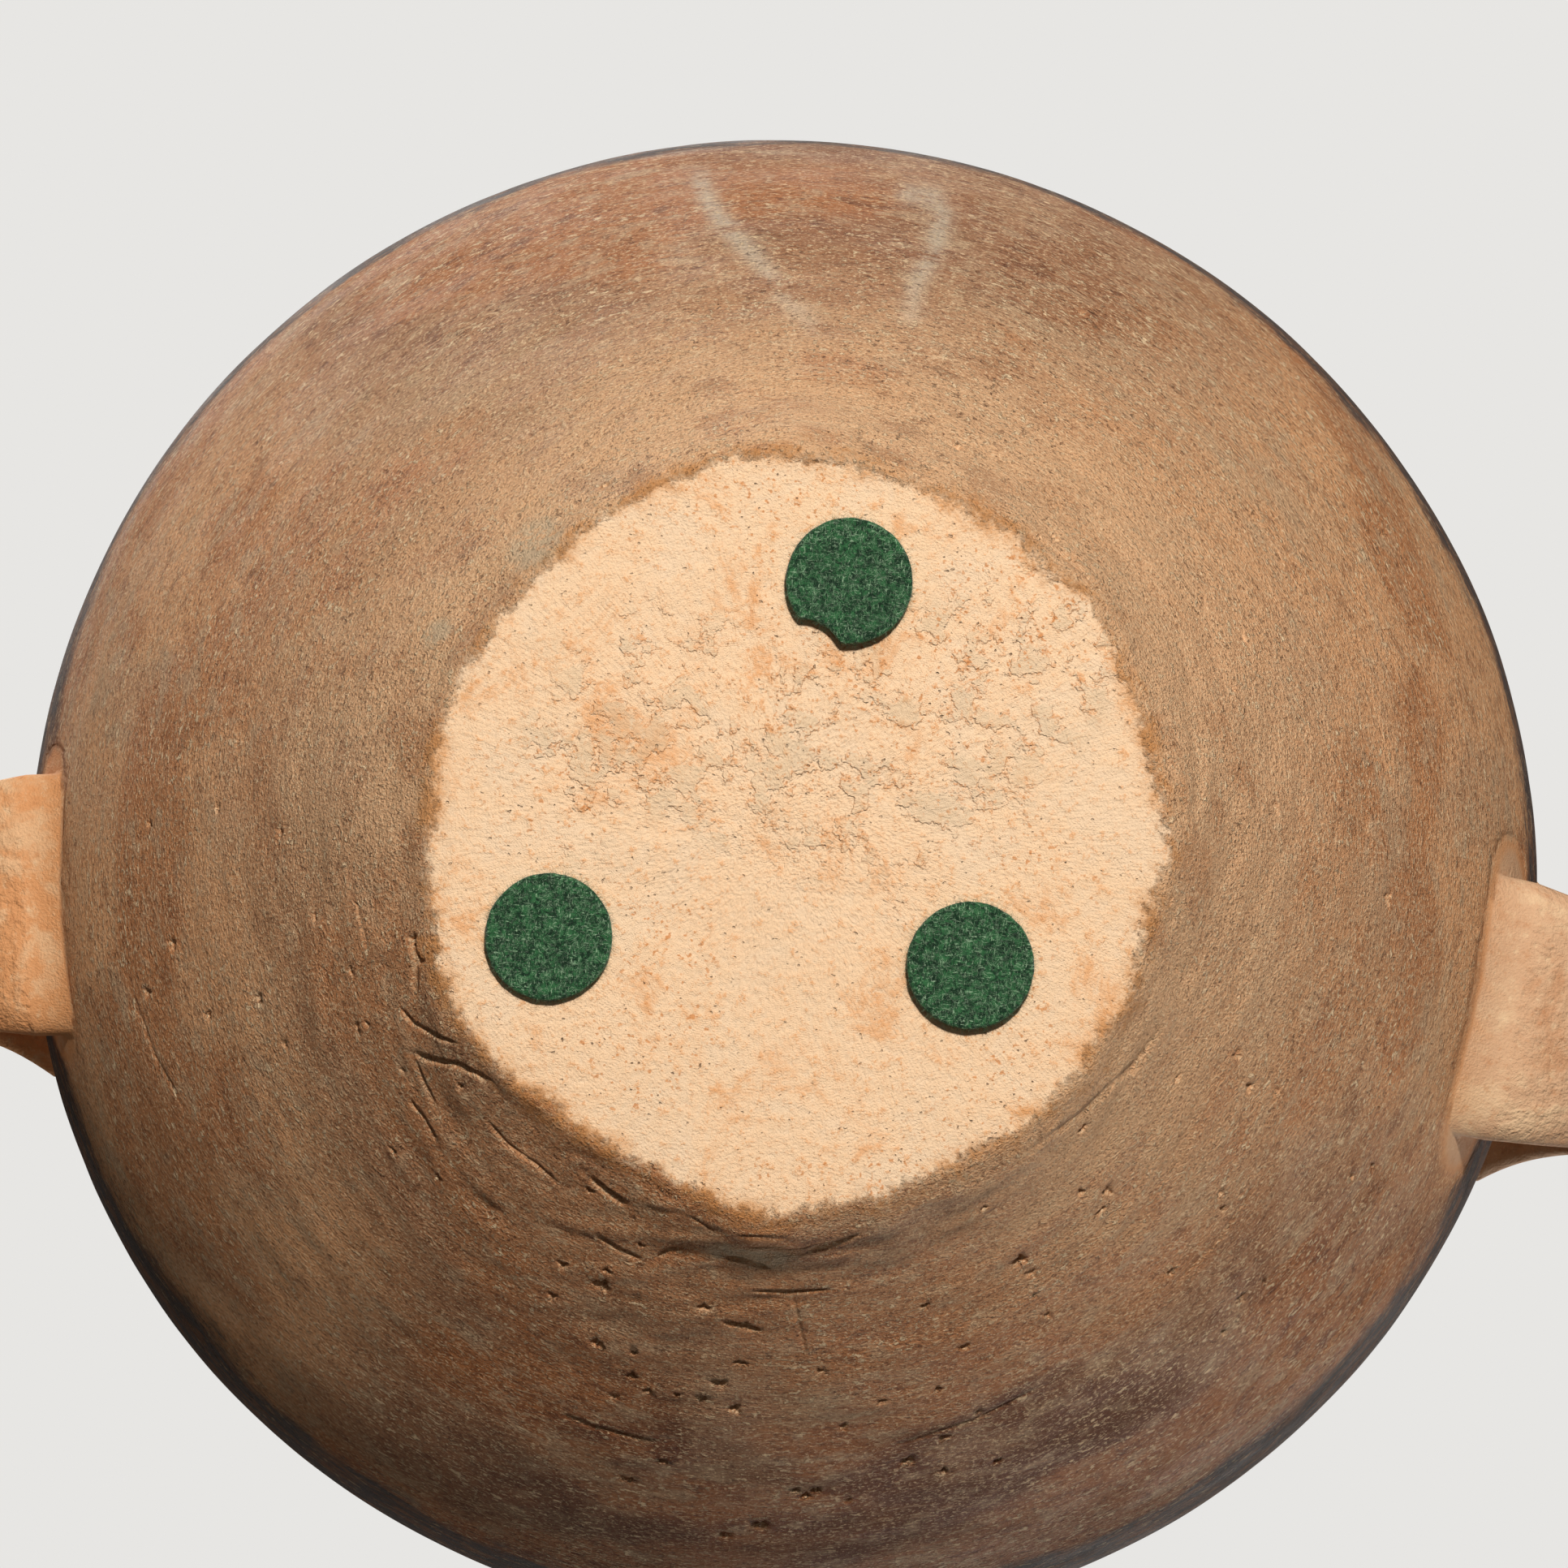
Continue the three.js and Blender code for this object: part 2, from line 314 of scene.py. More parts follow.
# More small pits drawn at random about the foot, most of them below it in the photograph
SCATTERED_PITS = 80
SCATTER_MIDDLE = 966, 1060
pit_draw = np.random.default_rng(5)
for _ in range(SCATTERED_PITS):
    pit_turn, pit_out = (0.55 + 0.4 * pit_draw.normal()) * math.pi, pit_draw.uniform(480, 860)
    PITS.append((
        SCATTER_MIDDLE[0] + pit_out * math.cos(pit_turn), SCATTER_MIDDLE[1] + pit_out * math.sin(pit_turn),
        pit_draw.uniform(5, 13), pit_draw.uniform(2.5, 5), pit_draw.uniform(0.5, 1.1),
    ))

# Faces this near to a mark, in pixels, and below this height are divided finely, with this many cuts an edge
MARK_MARGIN = 4
MARK_TOP = 150 * MM
MARK_CUTS = 3

# The foot's edge isn't round: its distance from the middle in pixels, by degrees from +X towards +Y
FOOT_MIDDLE_PIXELS = 458
PIXELS_PER_MM = 6.22
FOOT_EDGE = [
    (-180, 441), (-160, 447), (-145, 444), (-125, 455), (-111, 462), (-92, 474), (-73, 462),
    (-46, 471), (-22, 468), (-3, 480), (15, 472), (40, 477), (65, 470), (90, 480),
    (107, 452), (126, 454), (143, 467), (167, 446), (180, 441),
]


def distance_to_path(pixels, path):
    """Distance from each pixel to a path, and how far along it that is as a share."""
    best = np.full(len(pixels), 1e9)
    share = np.zeros(len(pixels))
    path = np.array(path, float)
    total = np.hypot(*np.diff(path, axis=0).T).sum()
    done = 0.0
    for a, b in zip(path[:-1], path[1:]):
        step = b - a
        length = np.hypot(*step)
        t = np.clip(((pixels - a) @ step) / length ** 2, 0, 1)
        d = np.hypot(*(pixels - a - t[:, None] * step).T)
        nearer = d < best
        best[nearer] = d[nearer]
        share[nearer] = ((done + t * length) / total)[nearer]
        done += length
    return best, share


def foot_push(angle):
    """How far the foot's edge stands out of its circle, in metres, by direction in radians."""
    directions, pixels = zip(*FOOT_EDGE)
    degrees = (np.degrees(angle) + 180) % 360 - 180
    push = np.interp(degrees, directions, np.array(pixels) - FOOT_MIDDLE_PIXELS) / PIXELS_PER_MM * MM
    push = push + (1 / DEPTH_OVER_WIDTH - 1) * FOOT_RADIUS * np.sin(angle) ** 2
    ragged = layered(np.c_[np.cos(angle) * 9, np.sin(angle) * 9, angle * 0 + 3.1], 4) - 0.5
    return push + ragged * 1.6 * MM


def relief(points, s, angle):
    """How far the wall stands out of its true surface, in metres, at points of the outside."""
    across = np.cos(angle), np.sin(angle)
    on_wall = smooth(s, FOOT_RADIUS, FOOT_RADIUS + 6 * MM)
    out = (layered(np.c_[across[0] * 1.6, across[1] * 1.6, s * 11 + 5], 2) - 0.5) * 3.4 * MM * on_wall
    out += (layered(np.c_[across[0] * 5, across[1] * 5, s * 45 + 2], 2) - 0.5) * 1.0 * MM * on_wall
    # wiping marks, long round the wall and narrow up it
    sweep = s + 0.012 * np.sin(angle * 2 + 0.6) + 0.006 * np.sin(angle * 5)
    near_foot = 1 - smooth(s, FOOT_RADIUS + 30 * MM, FOOT_RADIUS + 110 * MM)
    wiped = layered(np.c_[across[0] * 7, across[1] * 7, sweep * 230], 3) - 0.5
    out += wiped * (0.5 + 0.9 * near_foot) * MM * on_wall
    # the base: gently uneven, with flaked scales about its middle
    on_base = 1 - smooth(s, FOOT_RADIUS - 6 * MM, FOOT_RADIUS)
    out -= (layered(points * 26 + 3.0, 3) - 0.5) * 1.3 * MM * on_base
    flakes = smooth(layered(points * 150 + 11.0, 2), 0.5, 0.56)
    off_middle = np.hypot(points[:, 0] - SCALES_MIDDLE[0], points[:, 1] - SCALES_MIDDLE[1])
    about_middle = 1 - smooth(off_middle, 30 * MM, 58 * MM)
    out -= flakes * 0.3 * MM * on_base * about_middle
    return out


def marks(pixels):
    """Depth of the named cuts and pits at each pixel place, in metres."""
    depth = np.zeros(len(pixels))
    for path, width, deep in CUTS:
        d, share = distance_to_path(pixels, path)
        ends = smooth(share, 0, 0.25) * (1 - smooth(share, 0.75, 1))
        groove = np.exp(-(d / width) ** 2) * ends * deep * MM
        ridge = np.exp(-((d - 2.4 * width) / (1.2 * width)) ** 2) * ends * 0.25 * deep * MM
        depth = np.maximum(depth, groove) - ridge
    centre = np.array(WIPING_MIDDLE, float)
    for x, y, length, width, deep in PITS:
        out = np.array([x, y]) - centre
        out /= np.hypot(*out)
        off = pixels - (x, y)
        radial = off @ out
        round_wall = off @ np.array([-out[1], out[0]])
        ragged = 1 + 0.35 * np.sin(3 * np.arctan2(radial, round_wall) + x)
        d2 = (radial / (0.66 * width * ragged)) ** 2 + (round_wall / (0.66 * length * ragged)) ** 2
        depth = np.maximum(depth, deep * MM * np.exp(-d2 ** 1.5))
    return depth


# Meshes

def make_object(name, vertices, faces):
    mesh = bpy.data.meshes.new(name)
    mesh.from_pydata([tuple(v) for v in vertices], [], faces)
    mesh.update()
    obj = bpy.data.objects.new(name, mesh)
    bpy.context.scene.collection.objects.link(obj)
    return obj


def stitch(rows):
    """Faces through rows of points: each row is (first index, count), and counts match, double or halve."""
    faces = []
    for (a0, n), (b0, m) in zip(rows[:-1], rows[1:]):
        if n == m == 1:
            continue
        if n == 1:
            faces += [(a0, b0 + (i + 1) % m, b0 + i) for i in range(m)]
        elif m == 1:
            faces += [(a0 + i, a0 + (i + 1) % n, b0) for i in range(n)]
        elif n == m:
            faces += [(a0 + i, a0 + (i + 1) % n, b0 + (i + 1) % n, b0 + i) for i in range(n)]
        elif m == 2 * n:
            for i in range(n):
                left, middle, right = b0 + 2 * i, b0 + 2 * i + 1, b0 + (2 * i + 2) % m
                a, b = a0 + i, a0 + (i + 1) % n
                faces += [(a, middle, left), (a, b, middle), (b, right, middle)]
        elif n == 2 * m:
            for i in range(m):
                left, middle, right = a0 + 2 * i, a0 + 2 * i + 1, a0 + (2 * i + 2) % n
                a, b = b0 + i, b0 + (i + 1) % m
                faces += [(left, middle, a), (middle, b, a), (middle, right, b)]
    return faces


def outer_rows():
    """Rows of the outside: length from the base's middle, and points in the row."""
    foot, belly, lip = FOOT_RADIUS, BELLY_LENGTH, OUTER_LENGTHS[-1]
    # each stretch: its start and end, the step between rows and the points in a row
    stretches = [
        (2 * MM, 8 * MM, 2 * MM, 64),
        (8 * MM, 20 * MM, 2.2 * MM, 128),
        (20 * MM, 45 * MM, 2.2 * MM, 256),
        (45 * MM, foot - 4 * MM, 2.2 * MM, 256),
        (foot - 4 * MM, foot + 8 * MM, 0.9 * MM, 512),
        (foot + 8 * MM, foot + 50 * MM, 1.5 * MM, 512),
        (foot + 50 * MM, foot + 110 * MM, 2.4 * MM, 512),
        (foot + 110 * MM, belly, 5 * MM, 512),
        (belly, lip - 2 * MM, 7 * MM, 256),
    ]
    rows = [(0.0, 1)]
    for start, end, step, count in stretches:
        steps = max(1, round((end - start) / step))
        rows += [(start + (end - start) * k / steps, count) for k in range(steps)]
    rows.append((lip, 256))
    return rows


def ring(radius, height, count):
    """Points of one row round the body, with their angles."""
    angle = np.arange(count) * 2 * math.pi / count
    x, y = radius * np.cos(angle), radius * np.sin(angle) * DEPTH_OVER_WIDTH
    return np.c_[x, y, np.full(count, height + CLAY_BOTTOM)], angle


def body_mesh():
    """The hollow body from the base's middle up the outside, over the lip and down the inside."""
    parts, rows, s_all, angles = [], [], [], []
    first = 0
    for s, count in outer_rows():
        radius, height = at_length(OUTER, [s])[0]
        points, angle = ring(radius, height, count)
        parts.append(points)
        rows.append((first, count))
        s_all.append(np.full(count, s))
        angles.append(angle)
        first += count
    points = np.vstack(parts)
    s, angle = np.concatenate(s_all), np.concatenate(angles)
    ahead = at_length(OUTER, np.clip(s + MM, 0, OUTER_LENGTHS[-1]))
    behind = at_length(OUTER, np.clip(s - MM, 0, OUTER_LENGTHS[-1]))
    along = (ahead - behind) / np.hypot(*(ahead - behind).T)[:, None]
    normal = np.c_[along[:, 1] * np.cos(angle), along[:, 1] * np.sin(angle), -along[:, 0]]
    move = relief(points, s, angle)
    move *= 1 - 0.55 * smooth(s, BELLY_LENGTH - 50 * MM, BELLY_LENGTH)
    # the bounds stay those of the frame at the belly's widest line and the lip
    move -= 0.9 * MM * smooth(s, FOOT_RADIUS + 10 * MM, BELLY_LENGTH)
    push = foot_push(angle) * smooth(s, FOOT_PUSH_START, FOOT_RADIUS)
    push *= 1 - smooth(s, FOOT_RADIUS, FOOT_RADIUS + 26 * MM)
    points = points + normal * move[:, None]
    points[:, 0] += push * np.cos(angle)
    points[:, 1] += push * np.sin(angle)
    points[:, 2] = np.maximum(points[:, 2], CLAY_BOTTOM - 0.25 * MM)
    inner = inner_profile()
    lip = lip_profile(at_length(OUTER, [OUTER_LENGTHS[-1]])[0], inner[0])
    upper = [(place, 256) for place in lip] + [(place, 128) for place in inner[:8]]
    upper += [(place, 64) for place in inner[8:-1]]
    parts = [points]
    for (radius, height), count in upper + [(inner[-1], 1)]:
        more, angle = ring(radius, height, count)
        if count > 1:
            more[:, 2] += (layered(more * 30, 2) - 0.5) * 0.8 * MM
        parts.append(more)
        rows.append((first, count))
        first += count
    body = make_object("jar_body", np.vstack(parts), stitch(rows))
    press_marks(body)
    return body


def mark_distance(pixels):
    """Distance in pixels to the nearest cut or pit, less its own half width."""
    nearest = np.full(len(pixels), 1e9)
    for path, width, _ in CUTS:
        nearest = np.minimum(nearest, distance_to_path(pixels, path)[0] - 1.5 * width)
    for x, y, length, *_ in PITS:
        nearest = np.minimum(nearest, np.hypot(pixels[:, 0] - x, pixels[:, 1] - y) - 0.6 * length)
    return nearest


def press_marks(body):
    """Divide the faces about each mark finely and press the marks into the outside below the belly."""
    mesh = bmesh.new()
    mesh.from_mesh(body.data)
    middles = np.array([f.calc_center_median() for f in mesh.faces])
    near = mark_distance(to_pixels(middles)) < MARK_MARGIN
    near &= middles[:, 2] < MARK_TOP
    near &= np.hypot(middles[:, 0], middles[:, 1] / DEPTH_OVER_WIDTH) > radius_at(middles[:, 2]) - 3 * MM
    edges = {edge for face, chosen in zip(mesh.faces, near) if chosen for edge in face.edges}
    bmesh.ops.subdivide_edges(mesh, edges=list(edges), cuts=MARK_CUTS, use_grid_fill=True)
    mesh.normal_update()
    mesh.verts.ensure_lookup_table()
    points = np.array([v.co for v in mesh.verts])
    normals = np.array([v.normal for v in mesh.verts])
    outside = np.hypot(points[:, 0], points[:, 1] / DEPTH_OVER_WIDTH) > radius_at(points[:, 2]) - 3 * MM
    outside |= points[:, 2] < CLAY_BOTTOM + 3 * MM
    depth = marks(to_pixels(points)) * outside * (points[:, 2] < MARK_TOP)
    points -= normals * depth[:, None]
    for vertex, point in zip(mesh.verts, points):
        vertex.co = point
    mesh.to_mesh(body.data)
    mesh.free()


def handle_mesh(name, azimuth, lower_root):
    """A strap along a curve from the lower root to the upper one, its thickness and sides a little uneven."""
    lower = (radius_at(lower_root), lower_root)
    upper = (radius_at(UPPER_ROOT), UPPER_ROOT)
    reach = BELLY_RADIUS + HANDLE_REACH - 0.8 * MM
    steps, sides = HANDLE_STEPS, HANDLE_SIDES
    middle = bezier(lower, (reach, lower[1]), (reach, upper[1]), upper, steps + 1)
    along = np.gradient(middle, axis=0)
    along /= np.hypot(*along.T)[:, None]
    turn = np.arange(sides) * 2 * math.pi / sides
    c, s = np.cos(turn), np.sin(turn)
    parts = []
    for k in range(steps + 1):
        t = k / steps
        to_lower = max(0.0, 1 - t / ROOT_SHARE) ** 2
        to_upper = max(0.0, 1 - (1 - t) / ROOT_SHARE) ** 3
        width = STRAP_WIDTH + (LOWER_ROOT_WIDTH - STRAP_WIDTH) * to_lower
        width += (UPPER_ROOT_WIDTH - STRAP_WIDTH) * to_upper
        thick = STRAP_THICKNESS + (ROOT_THICKNESS - STRAP_THICKNESS) * (to_lower + to_upper)
        x = width / 2 * np.sign(c) * np.abs(c) ** 0.5
        y = thick / 2 * np.sign(s) * np.abs(s) ** 0.8
        place = np.c_[
            middle[k, 0] + along[k, 1] * y,
            x,
            middle[k, 1] - along[k, 0] * y,
        ]
        if k in (0, steps):
            radius = radius_at(place[:, 2]) - WALL * 0.55
            place[:, 0] = np.sqrt(radius ** 2 - place[:, 1] ** 2)
        else:
            bump = (layered(place * 55 + azimuth, 3) - 0.5) * 1.6 * MM
            place[:, 0] += along[k, 1] * bump * np.sign(y) * (np.abs(s) > 0.3)
            place[:, 2] -= along[k, 0] * bump * np.sign(y) * (np.abs(s) > 0.3)
            place[:, 1] += (layered(place * 40 + 5, 2) - 0.5) * 1.6 * MM
        parts.append(place)
    ends = [parts[0].mean(axis=0)[None], parts[-1].mean(axis=0)[None]]
    vertices = np.vstack([ends[0]] + parts + [ends[1]])
    rows = [(0, 1)] + [(1 + k * sides, sides) for k in range(steps + 1)] + [(1 + (steps + 1) * sides, 1)]
    a = math.radians(azimuth)
    turn = np.array([[math.cos(a), -math.sin(a), 0], [math.sin(a), math.cos(a), 0], [0, 0, 1]])
    return make_object(name, vertices @ turn.T + (0, 0, CLAY_BOTTOM), [f[::-1] for f in stitch(rows)])


def join(obj, other):
    """Make the two closed meshes one, and remove the other object."""
    change = obj.modifiers.new("join", "BOOLEAN")
    change.operation = "UNION"
    change.solver = "MANIFOLD"
    change.object = other
    bpy.context.view_layer.update()
    joined = bpy.data.meshes.new_from_object(obj.evaluated_get(bpy.context.evaluated_depsgraph_get()))
    obj.modifiers.clear()
    old = obj.data
    obj.data = joined
    bpy.data.meshes.remove(old)
    bpy.data.objects.remove(other)


def clean_seams(obj):
    """Dissolve vertices where only two edges meet: triangulated, their faces would lie on each other."""
    mesh = bmesh.new()
    mesh.from_mesh(obj.data)
    bmesh.ops.dissolve_verts(mesh, verts=[v for v in mesh.verts if len(v.link_edges) == 2])
    mesh.to_mesh(obj.data)
    mesh.free()


def vertex_array(mesh):
    flat = np.empty(len(mesh.vertices) * 3)
    mesh.vertices.foreach_get("co", flat)
    return flat.reshape(-1, 3)


jar = body_mesh()
join(jar, handle_mesh("left", 180 - HANDLE_TURN_BACK, LEFT_LOWER_ROOT))
join(jar, handle_mesh("right", HANDLE_TURN_BACK, RIGHT_LOWER_ROOT))
clean_seams(jar)
jar.name = "painted_jar"
for polygon in jar.data.polygons:
    polygon.use_smooth = True
print("jar faces", sum(len(p.vertices) - 2 for p in jar.data.polygons), "vertices", len(jar.data.vertices))
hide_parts("jar")
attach(jar, "root")


# Where each point of the jar is, for its material

def profile_places(points):
    """Length along the outer profile and distance out of it, at each point."""
    flat = np.c_[np.hypot(points[:, 0], points[:, 1] / DEPTH_OVER_WIDTH), points[:, 2] - CLAY_BOTTOM]
    path = OUTER[::3]
    s = np.zeros(len(points))
    off = np.zeros(len(points))
    for start in range(0, len(points), 4000):
        block = flat[start:start + 4000]
        gap = np.hypot(block[:, None, 0] - path[:, 0], block[:, None, 1] - path[:, 1])
        nearest = gap.argmin(axis=1)
        s[start:start + 4000] = OUTER_LENGTHS[::3][nearest]
        inside = np.hypot(*(block - (0, BELLY_HEIGHT)).T) < np.hypot(*(path[nearest] - (0, BELLY_HEIGHT)).T)
        off[start:start + 4000] = gap.min(axis=1) * np.where(inside, -1, 1)
    return s, off


def distance_to_handles(points, s, off):
    """Distance from each point near a root to the handles' own clay, which lies well out of the profile."""
    far_out = off > 2.5 * MM
    tree = kdtree.KDTree(int(far_out.sum()))
    for i, point in enumerate(points[far_out]):
        tree.insert(point, i)
    tree.balance()
    near_root = (np.abs(points[:, 0]) > 115 * MM) & (s > 150 * MM)
    distance = np.full(len(points), 1.0)
    for i in np.flatnonzero(near_root):
        distance[i] = tree.find(points[i])[2]
    return distance


def blob(pixels, x, y, long, short, angle):
    """1 in the middle of an ellipse, in pixels, and 0 outside it."""
    c, s = math.cos(math.radians(angle)), math.sin(math.radians(angle))
    dx, dy = pixels[:, 0] - x, pixels[:, 1] - y
    return np.exp(-(((dx * c + dy * s) / long) ** 2 + ((dy * c - dx * s) / short) ** 2))


# Stains by their place in the photograph: x, y, half length, half width, turn and strength
GREY_STAINS = [
    (925, 1548, 70, 16, 8, 1.0), (878, 1821, 30, 8, 3, 0.9), (1110, 1700, 110, 16, -10, 0.55),
    (1030, 1735, 80, 20, -4, 0.5), (660, 670, 58, 38, -42, 0.8), (538, 780, 36, 20, -40, 0.8),
    (420, 770, 34, 20, -50, 0.55), (118, 850, 40, 12, -70, 0.6), (880, 460, 130, 22, -8, 0.4),
    (1290, 420, 150, 40, 30, 0.45), (1200, 480, 90, 30, 15, 0.4), (560, 480, 150, 40, -35, 0.5),
    (350, 700, 90, 28, -60, 0.4), (1560, 600, 130, 40, 50, 0.35), (1700, 1050, 150, 30, 92, 0.35),
    (1560, 1200, 140, 26, 100, 0.4), (1450, 1500, 120, 26, 135, 0.35), (1750, 1300, 90, 30, 105, 0.3),
    (480, 1000, 60, 22, 92, 0.4), (1300, 1480, 80, 18, 150, 0.3), (700, 1800, 120, 22, 20, 0.25),
    (1150, 300, 60, 30, 10, 0.3),
]
# Dark stains, partly real and partly painted shade: those under the handles, at (100, 1320) and (1800, 1480),
# and the broad ones at large y along the lower side are painted shade
SOOT_AND_SHADE_STAINS = [
    (70, 890, 70, 20, -68, 0.8), (100, 1320, 50, 16, 62, 0.5), (1800, 1480, 80, 18, -50, 0.5),
    (640, 520, 75, 34, -38, 0.7), (700, 430, 60, 30, -30, 0.4), (500, 640, 80, 26, -52, 0.4),
    (330, 1010, 90, 22, 85, 0.35), (1420, 560, 90, 26, 42, 0.25), (360, 1380, 120, 30, 50, 0.25),
    (200, 1400, 90, 30, 62, 0.15), (620, 1820, 180, 40, 28, 0.35), (1780, 700, 60, 16, 70, 0.4),
    (960, 1880, 420, 80, 0, 0.3), (820, 1640, 160, 60, 15, 0.3), (1350, 1760, 160, 50, -35, 0.35),
]
DRIPS = [
    ([(862, 222), (880, 262), (915, 300), (948, 338), (962, 362), (1000, 400)], 12, 0.85),
    ([(1118, 238), (1150, 242), (1162, 268), (1150, 310), (1128, 350), (1122, 388)], 13, 0.8),
]
# Where the underside is flaked
FLAKED = [
    (900, 890, 300, 150, 25, 1.0), (1180, 830, 130, 110, 0, 0.8), (1340, 800, 50, 90, 20, 0.9),
    (700, 1000, 120, 60, 80, 0.5),
]
# The worn dark band starts at this height above the clay's underside, lower at the back
BAND_HEIGHT = 131 * MM
BAND_HEIGHT_BACK = 124 * MM
BAND_WIDTH = 46 * MM


def mark_places(obj):
    """Store on each vertex what the clay's material needs to know of its place."""
    mesh = obj.data
    points = vertex_array(mesh)
    angle = np.arctan2(points[:, 1] / DEPTH_OVER_WIDTH, points[:, 0])
    radius = np.hypot(points[:, 0], points[:, 1] / DEPTH_OVER_WIDTH)
    pushed = foot_push(angle) * smooth(radius, FOOT_PUSH_START, FOOT_RADIUS)
    pushed *= 1 - smooth(radius, FOOT_RADIUS, 95 * MM)
    pushed = np.where(points[:, 2] < 0.03, pushed, 0)
    s, off = profile_places(points - np.c_[np.cos(angle) * pushed, np.sin(angle) * pushed, pushed * 0])
    pixels = to_pixels(points)
    below = s < BELLY_LENGTH
    to_handle = distance_to_handles(points, s, off)
    on_left = points[:, 0] < 0
    handle = 1 - np.where(on_left, smooth(to_handle, *LEFT_SEAM), smooth(to_handle, *RIGHT_SEAM))
    handle = np.maximum(handle, smooth(off, 1.5 * MM, 3 * MM))
    inside = smooth(-off, 2.5 * MM, 4.5 * MM)
    foot = np.where(points[:, 2] < 0.12, radius - FOOT_RADIUS - foot_push(angle), 0.1)
    foot += (layered(points * 70, 3) - 0.5) * 4 * MM * smooth(foot, -20 * MM, -2 * MM)
    band = smooth(np.sin(angle), -0.2, 0.9)
    start = np.interp(BAND_HEIGHT * (1 - band) + BAND_HEIGHT_BACK * band, OUTER[:, 1], OUTER_LENGTHS)
    grey = sum(blob(pixels, *stain[:5]) * stain[5] for stain in GREY_STAINS) * below
    grey *= 1 + 0.8 * smooth(np.cos(angle), 0.3, 0.9)
    soot_and_shade = sum(blob(pixels, *stain[:5]) * stain[5] for stain in SOOT_AND_SHADE_STAINS) * below
    flaked = sum(blob(pixels, *stain[:5]) * stain[5] for stain in FLAKED) * below
    milk = np.zeros(len(points))
    for path, width, strength in DRIPS:
        milk += np.exp(-(distance_to_path(pixels, path)[0] / width) ** 2) * strength * below
    pit = marks(pixels) / MM * below * (1 - inside)
    round_wall = np.c_[np.cos(angle), np.sin(angle), s]
    # +X is the picture's right and +Y its lower side
    # painted light and shade: the wall is painted lighter on the +X side, and far up on the -X side and
    # towards 137 degrees; it is painted darker far up towards +Y and a little towards -Y
    paler = 0.85 * smooth(np.cos(angle + 0.1), 0.2, 0.95)
    paler += 0.75 * smooth(-np.cos(angle), 0.5, 1.0) * smooth(s, 0.1, 0.16)
    paler += 0.5 * smooth(np.cos(angle - math.radians(137)), 0.6, 1.0) * smooth(s, 0.11, 0.16)
    towards_painted_shade = 0.35 * np.cos(angle) + 0.94 * np.sin(angle)
    painted_darker = 1.0 * smooth(towards_painted_shade, 0.4, 0.95) * smooth(s, 0.11, 0.17)
    painted_darker += 0.25 * smooth(-np.sin(angle), 0.6, 1.0) * smooth(s, 0.12, 0.18)
    values = {
        "handle": handle,
        "painted_light_and_shade": paler - painted_darker,
        "inside": inside,
        "foot": foot / MM,
        "band": (s - start) / MM,
        "grey": grey,
        "soot_and_shade": soot_and_shade,
        "milk": milk,
        "pit": pit,
        "patch": layered(round_wall * (2.4, 2.4, 30) + 20, 4),
        "blotch": layered(points * 42 + 30, 4),
        "ragged": layered(round_wall * (9, 9, 150) + 40, 4),
        # sandy tan near the foot, weaker towards +Y and -X: partly sand, partly painted light
        "sand_and_light": 1 - 0.75 * smooth(np.sin(angle), -0.1, 0.5) * (1 - smooth(np.cos(angle), 0.2, 0.9)),
        "many": layered(round_wall * (5, 5, 60) + 50, 3),
        "here": layered(points * 24 + 60, 3),
        "flaked": np.clip(flaked, 0, 1),
    }
    for name, value in values.items():
        mesh.attributes.new(name, "FLOAT", "POINT").data.foreach_set("value", value.astype(np.float32))
    place = round_wall.astype(np.float32)
    mesh.attributes.new("place", "FLOAT_VECTOR", "POINT").data.foreach_set("vector", place.ravel())
    return values


def choose_zones(obj, values):
    """Give each face the plainest of the zones' materials that draws it whole."""
    mesh = obj.data
    corners = np.zeros((len(mesh.polygons), 2, len(values)))
    stack = np.array(list(values.values())).T
    for i, polygon in enumerate(mesh.polygons):
        here = stack[list(polygon.vertices)]
        corners[i] = here.min(axis=0), here.max(axis=0)
    names = list(values)
    low = {name: corners[:, 0, k] for k, name in enumerate(names)}
    high = {name: corners[:, 1, k] for k, name in enumerate(names)}
    plain = (high["handle"] <= 0.02) & (high["inside"] <= 0.02)
    zone = np.full(len(mesh.polygons), ZONES.index("seam"))
    zone[plain] = ZONES.index("belly")
    zone[plain & (high["band"] < -20)] = ZONES.index("wall")
    zone[plain & (low["band"] > BAND_WIDTH / MM + 2)] = ZONES.index("shoulder")
    zone[plain & (low["foot"] < 10)] = ZONES.index("foot")
    zone[plain & (high["foot"] < -10)] = ZONES.index("base")
    zone[low["handle"] >= 0.99] = ZONES.index("handle")
    zone[low["inside"] >= 0.99] = ZONES.index("inside")
    mesh.polygons.foreach_set("material_index", zone)
    print({name: int((zone == k).sum()) for k, name in enumerate(ZONES)})


# Materials

def paint(red, green, blue):
    """A screen colour, 0 to 255, as the light it stands for."""
    channels = [c / 255 for c in (red, green, blue)]
    return tuple(c / 12.92 if c < 0.04045 else ((c + 0.055) / 1.055) ** 2.4 for c in channels) + (1,)


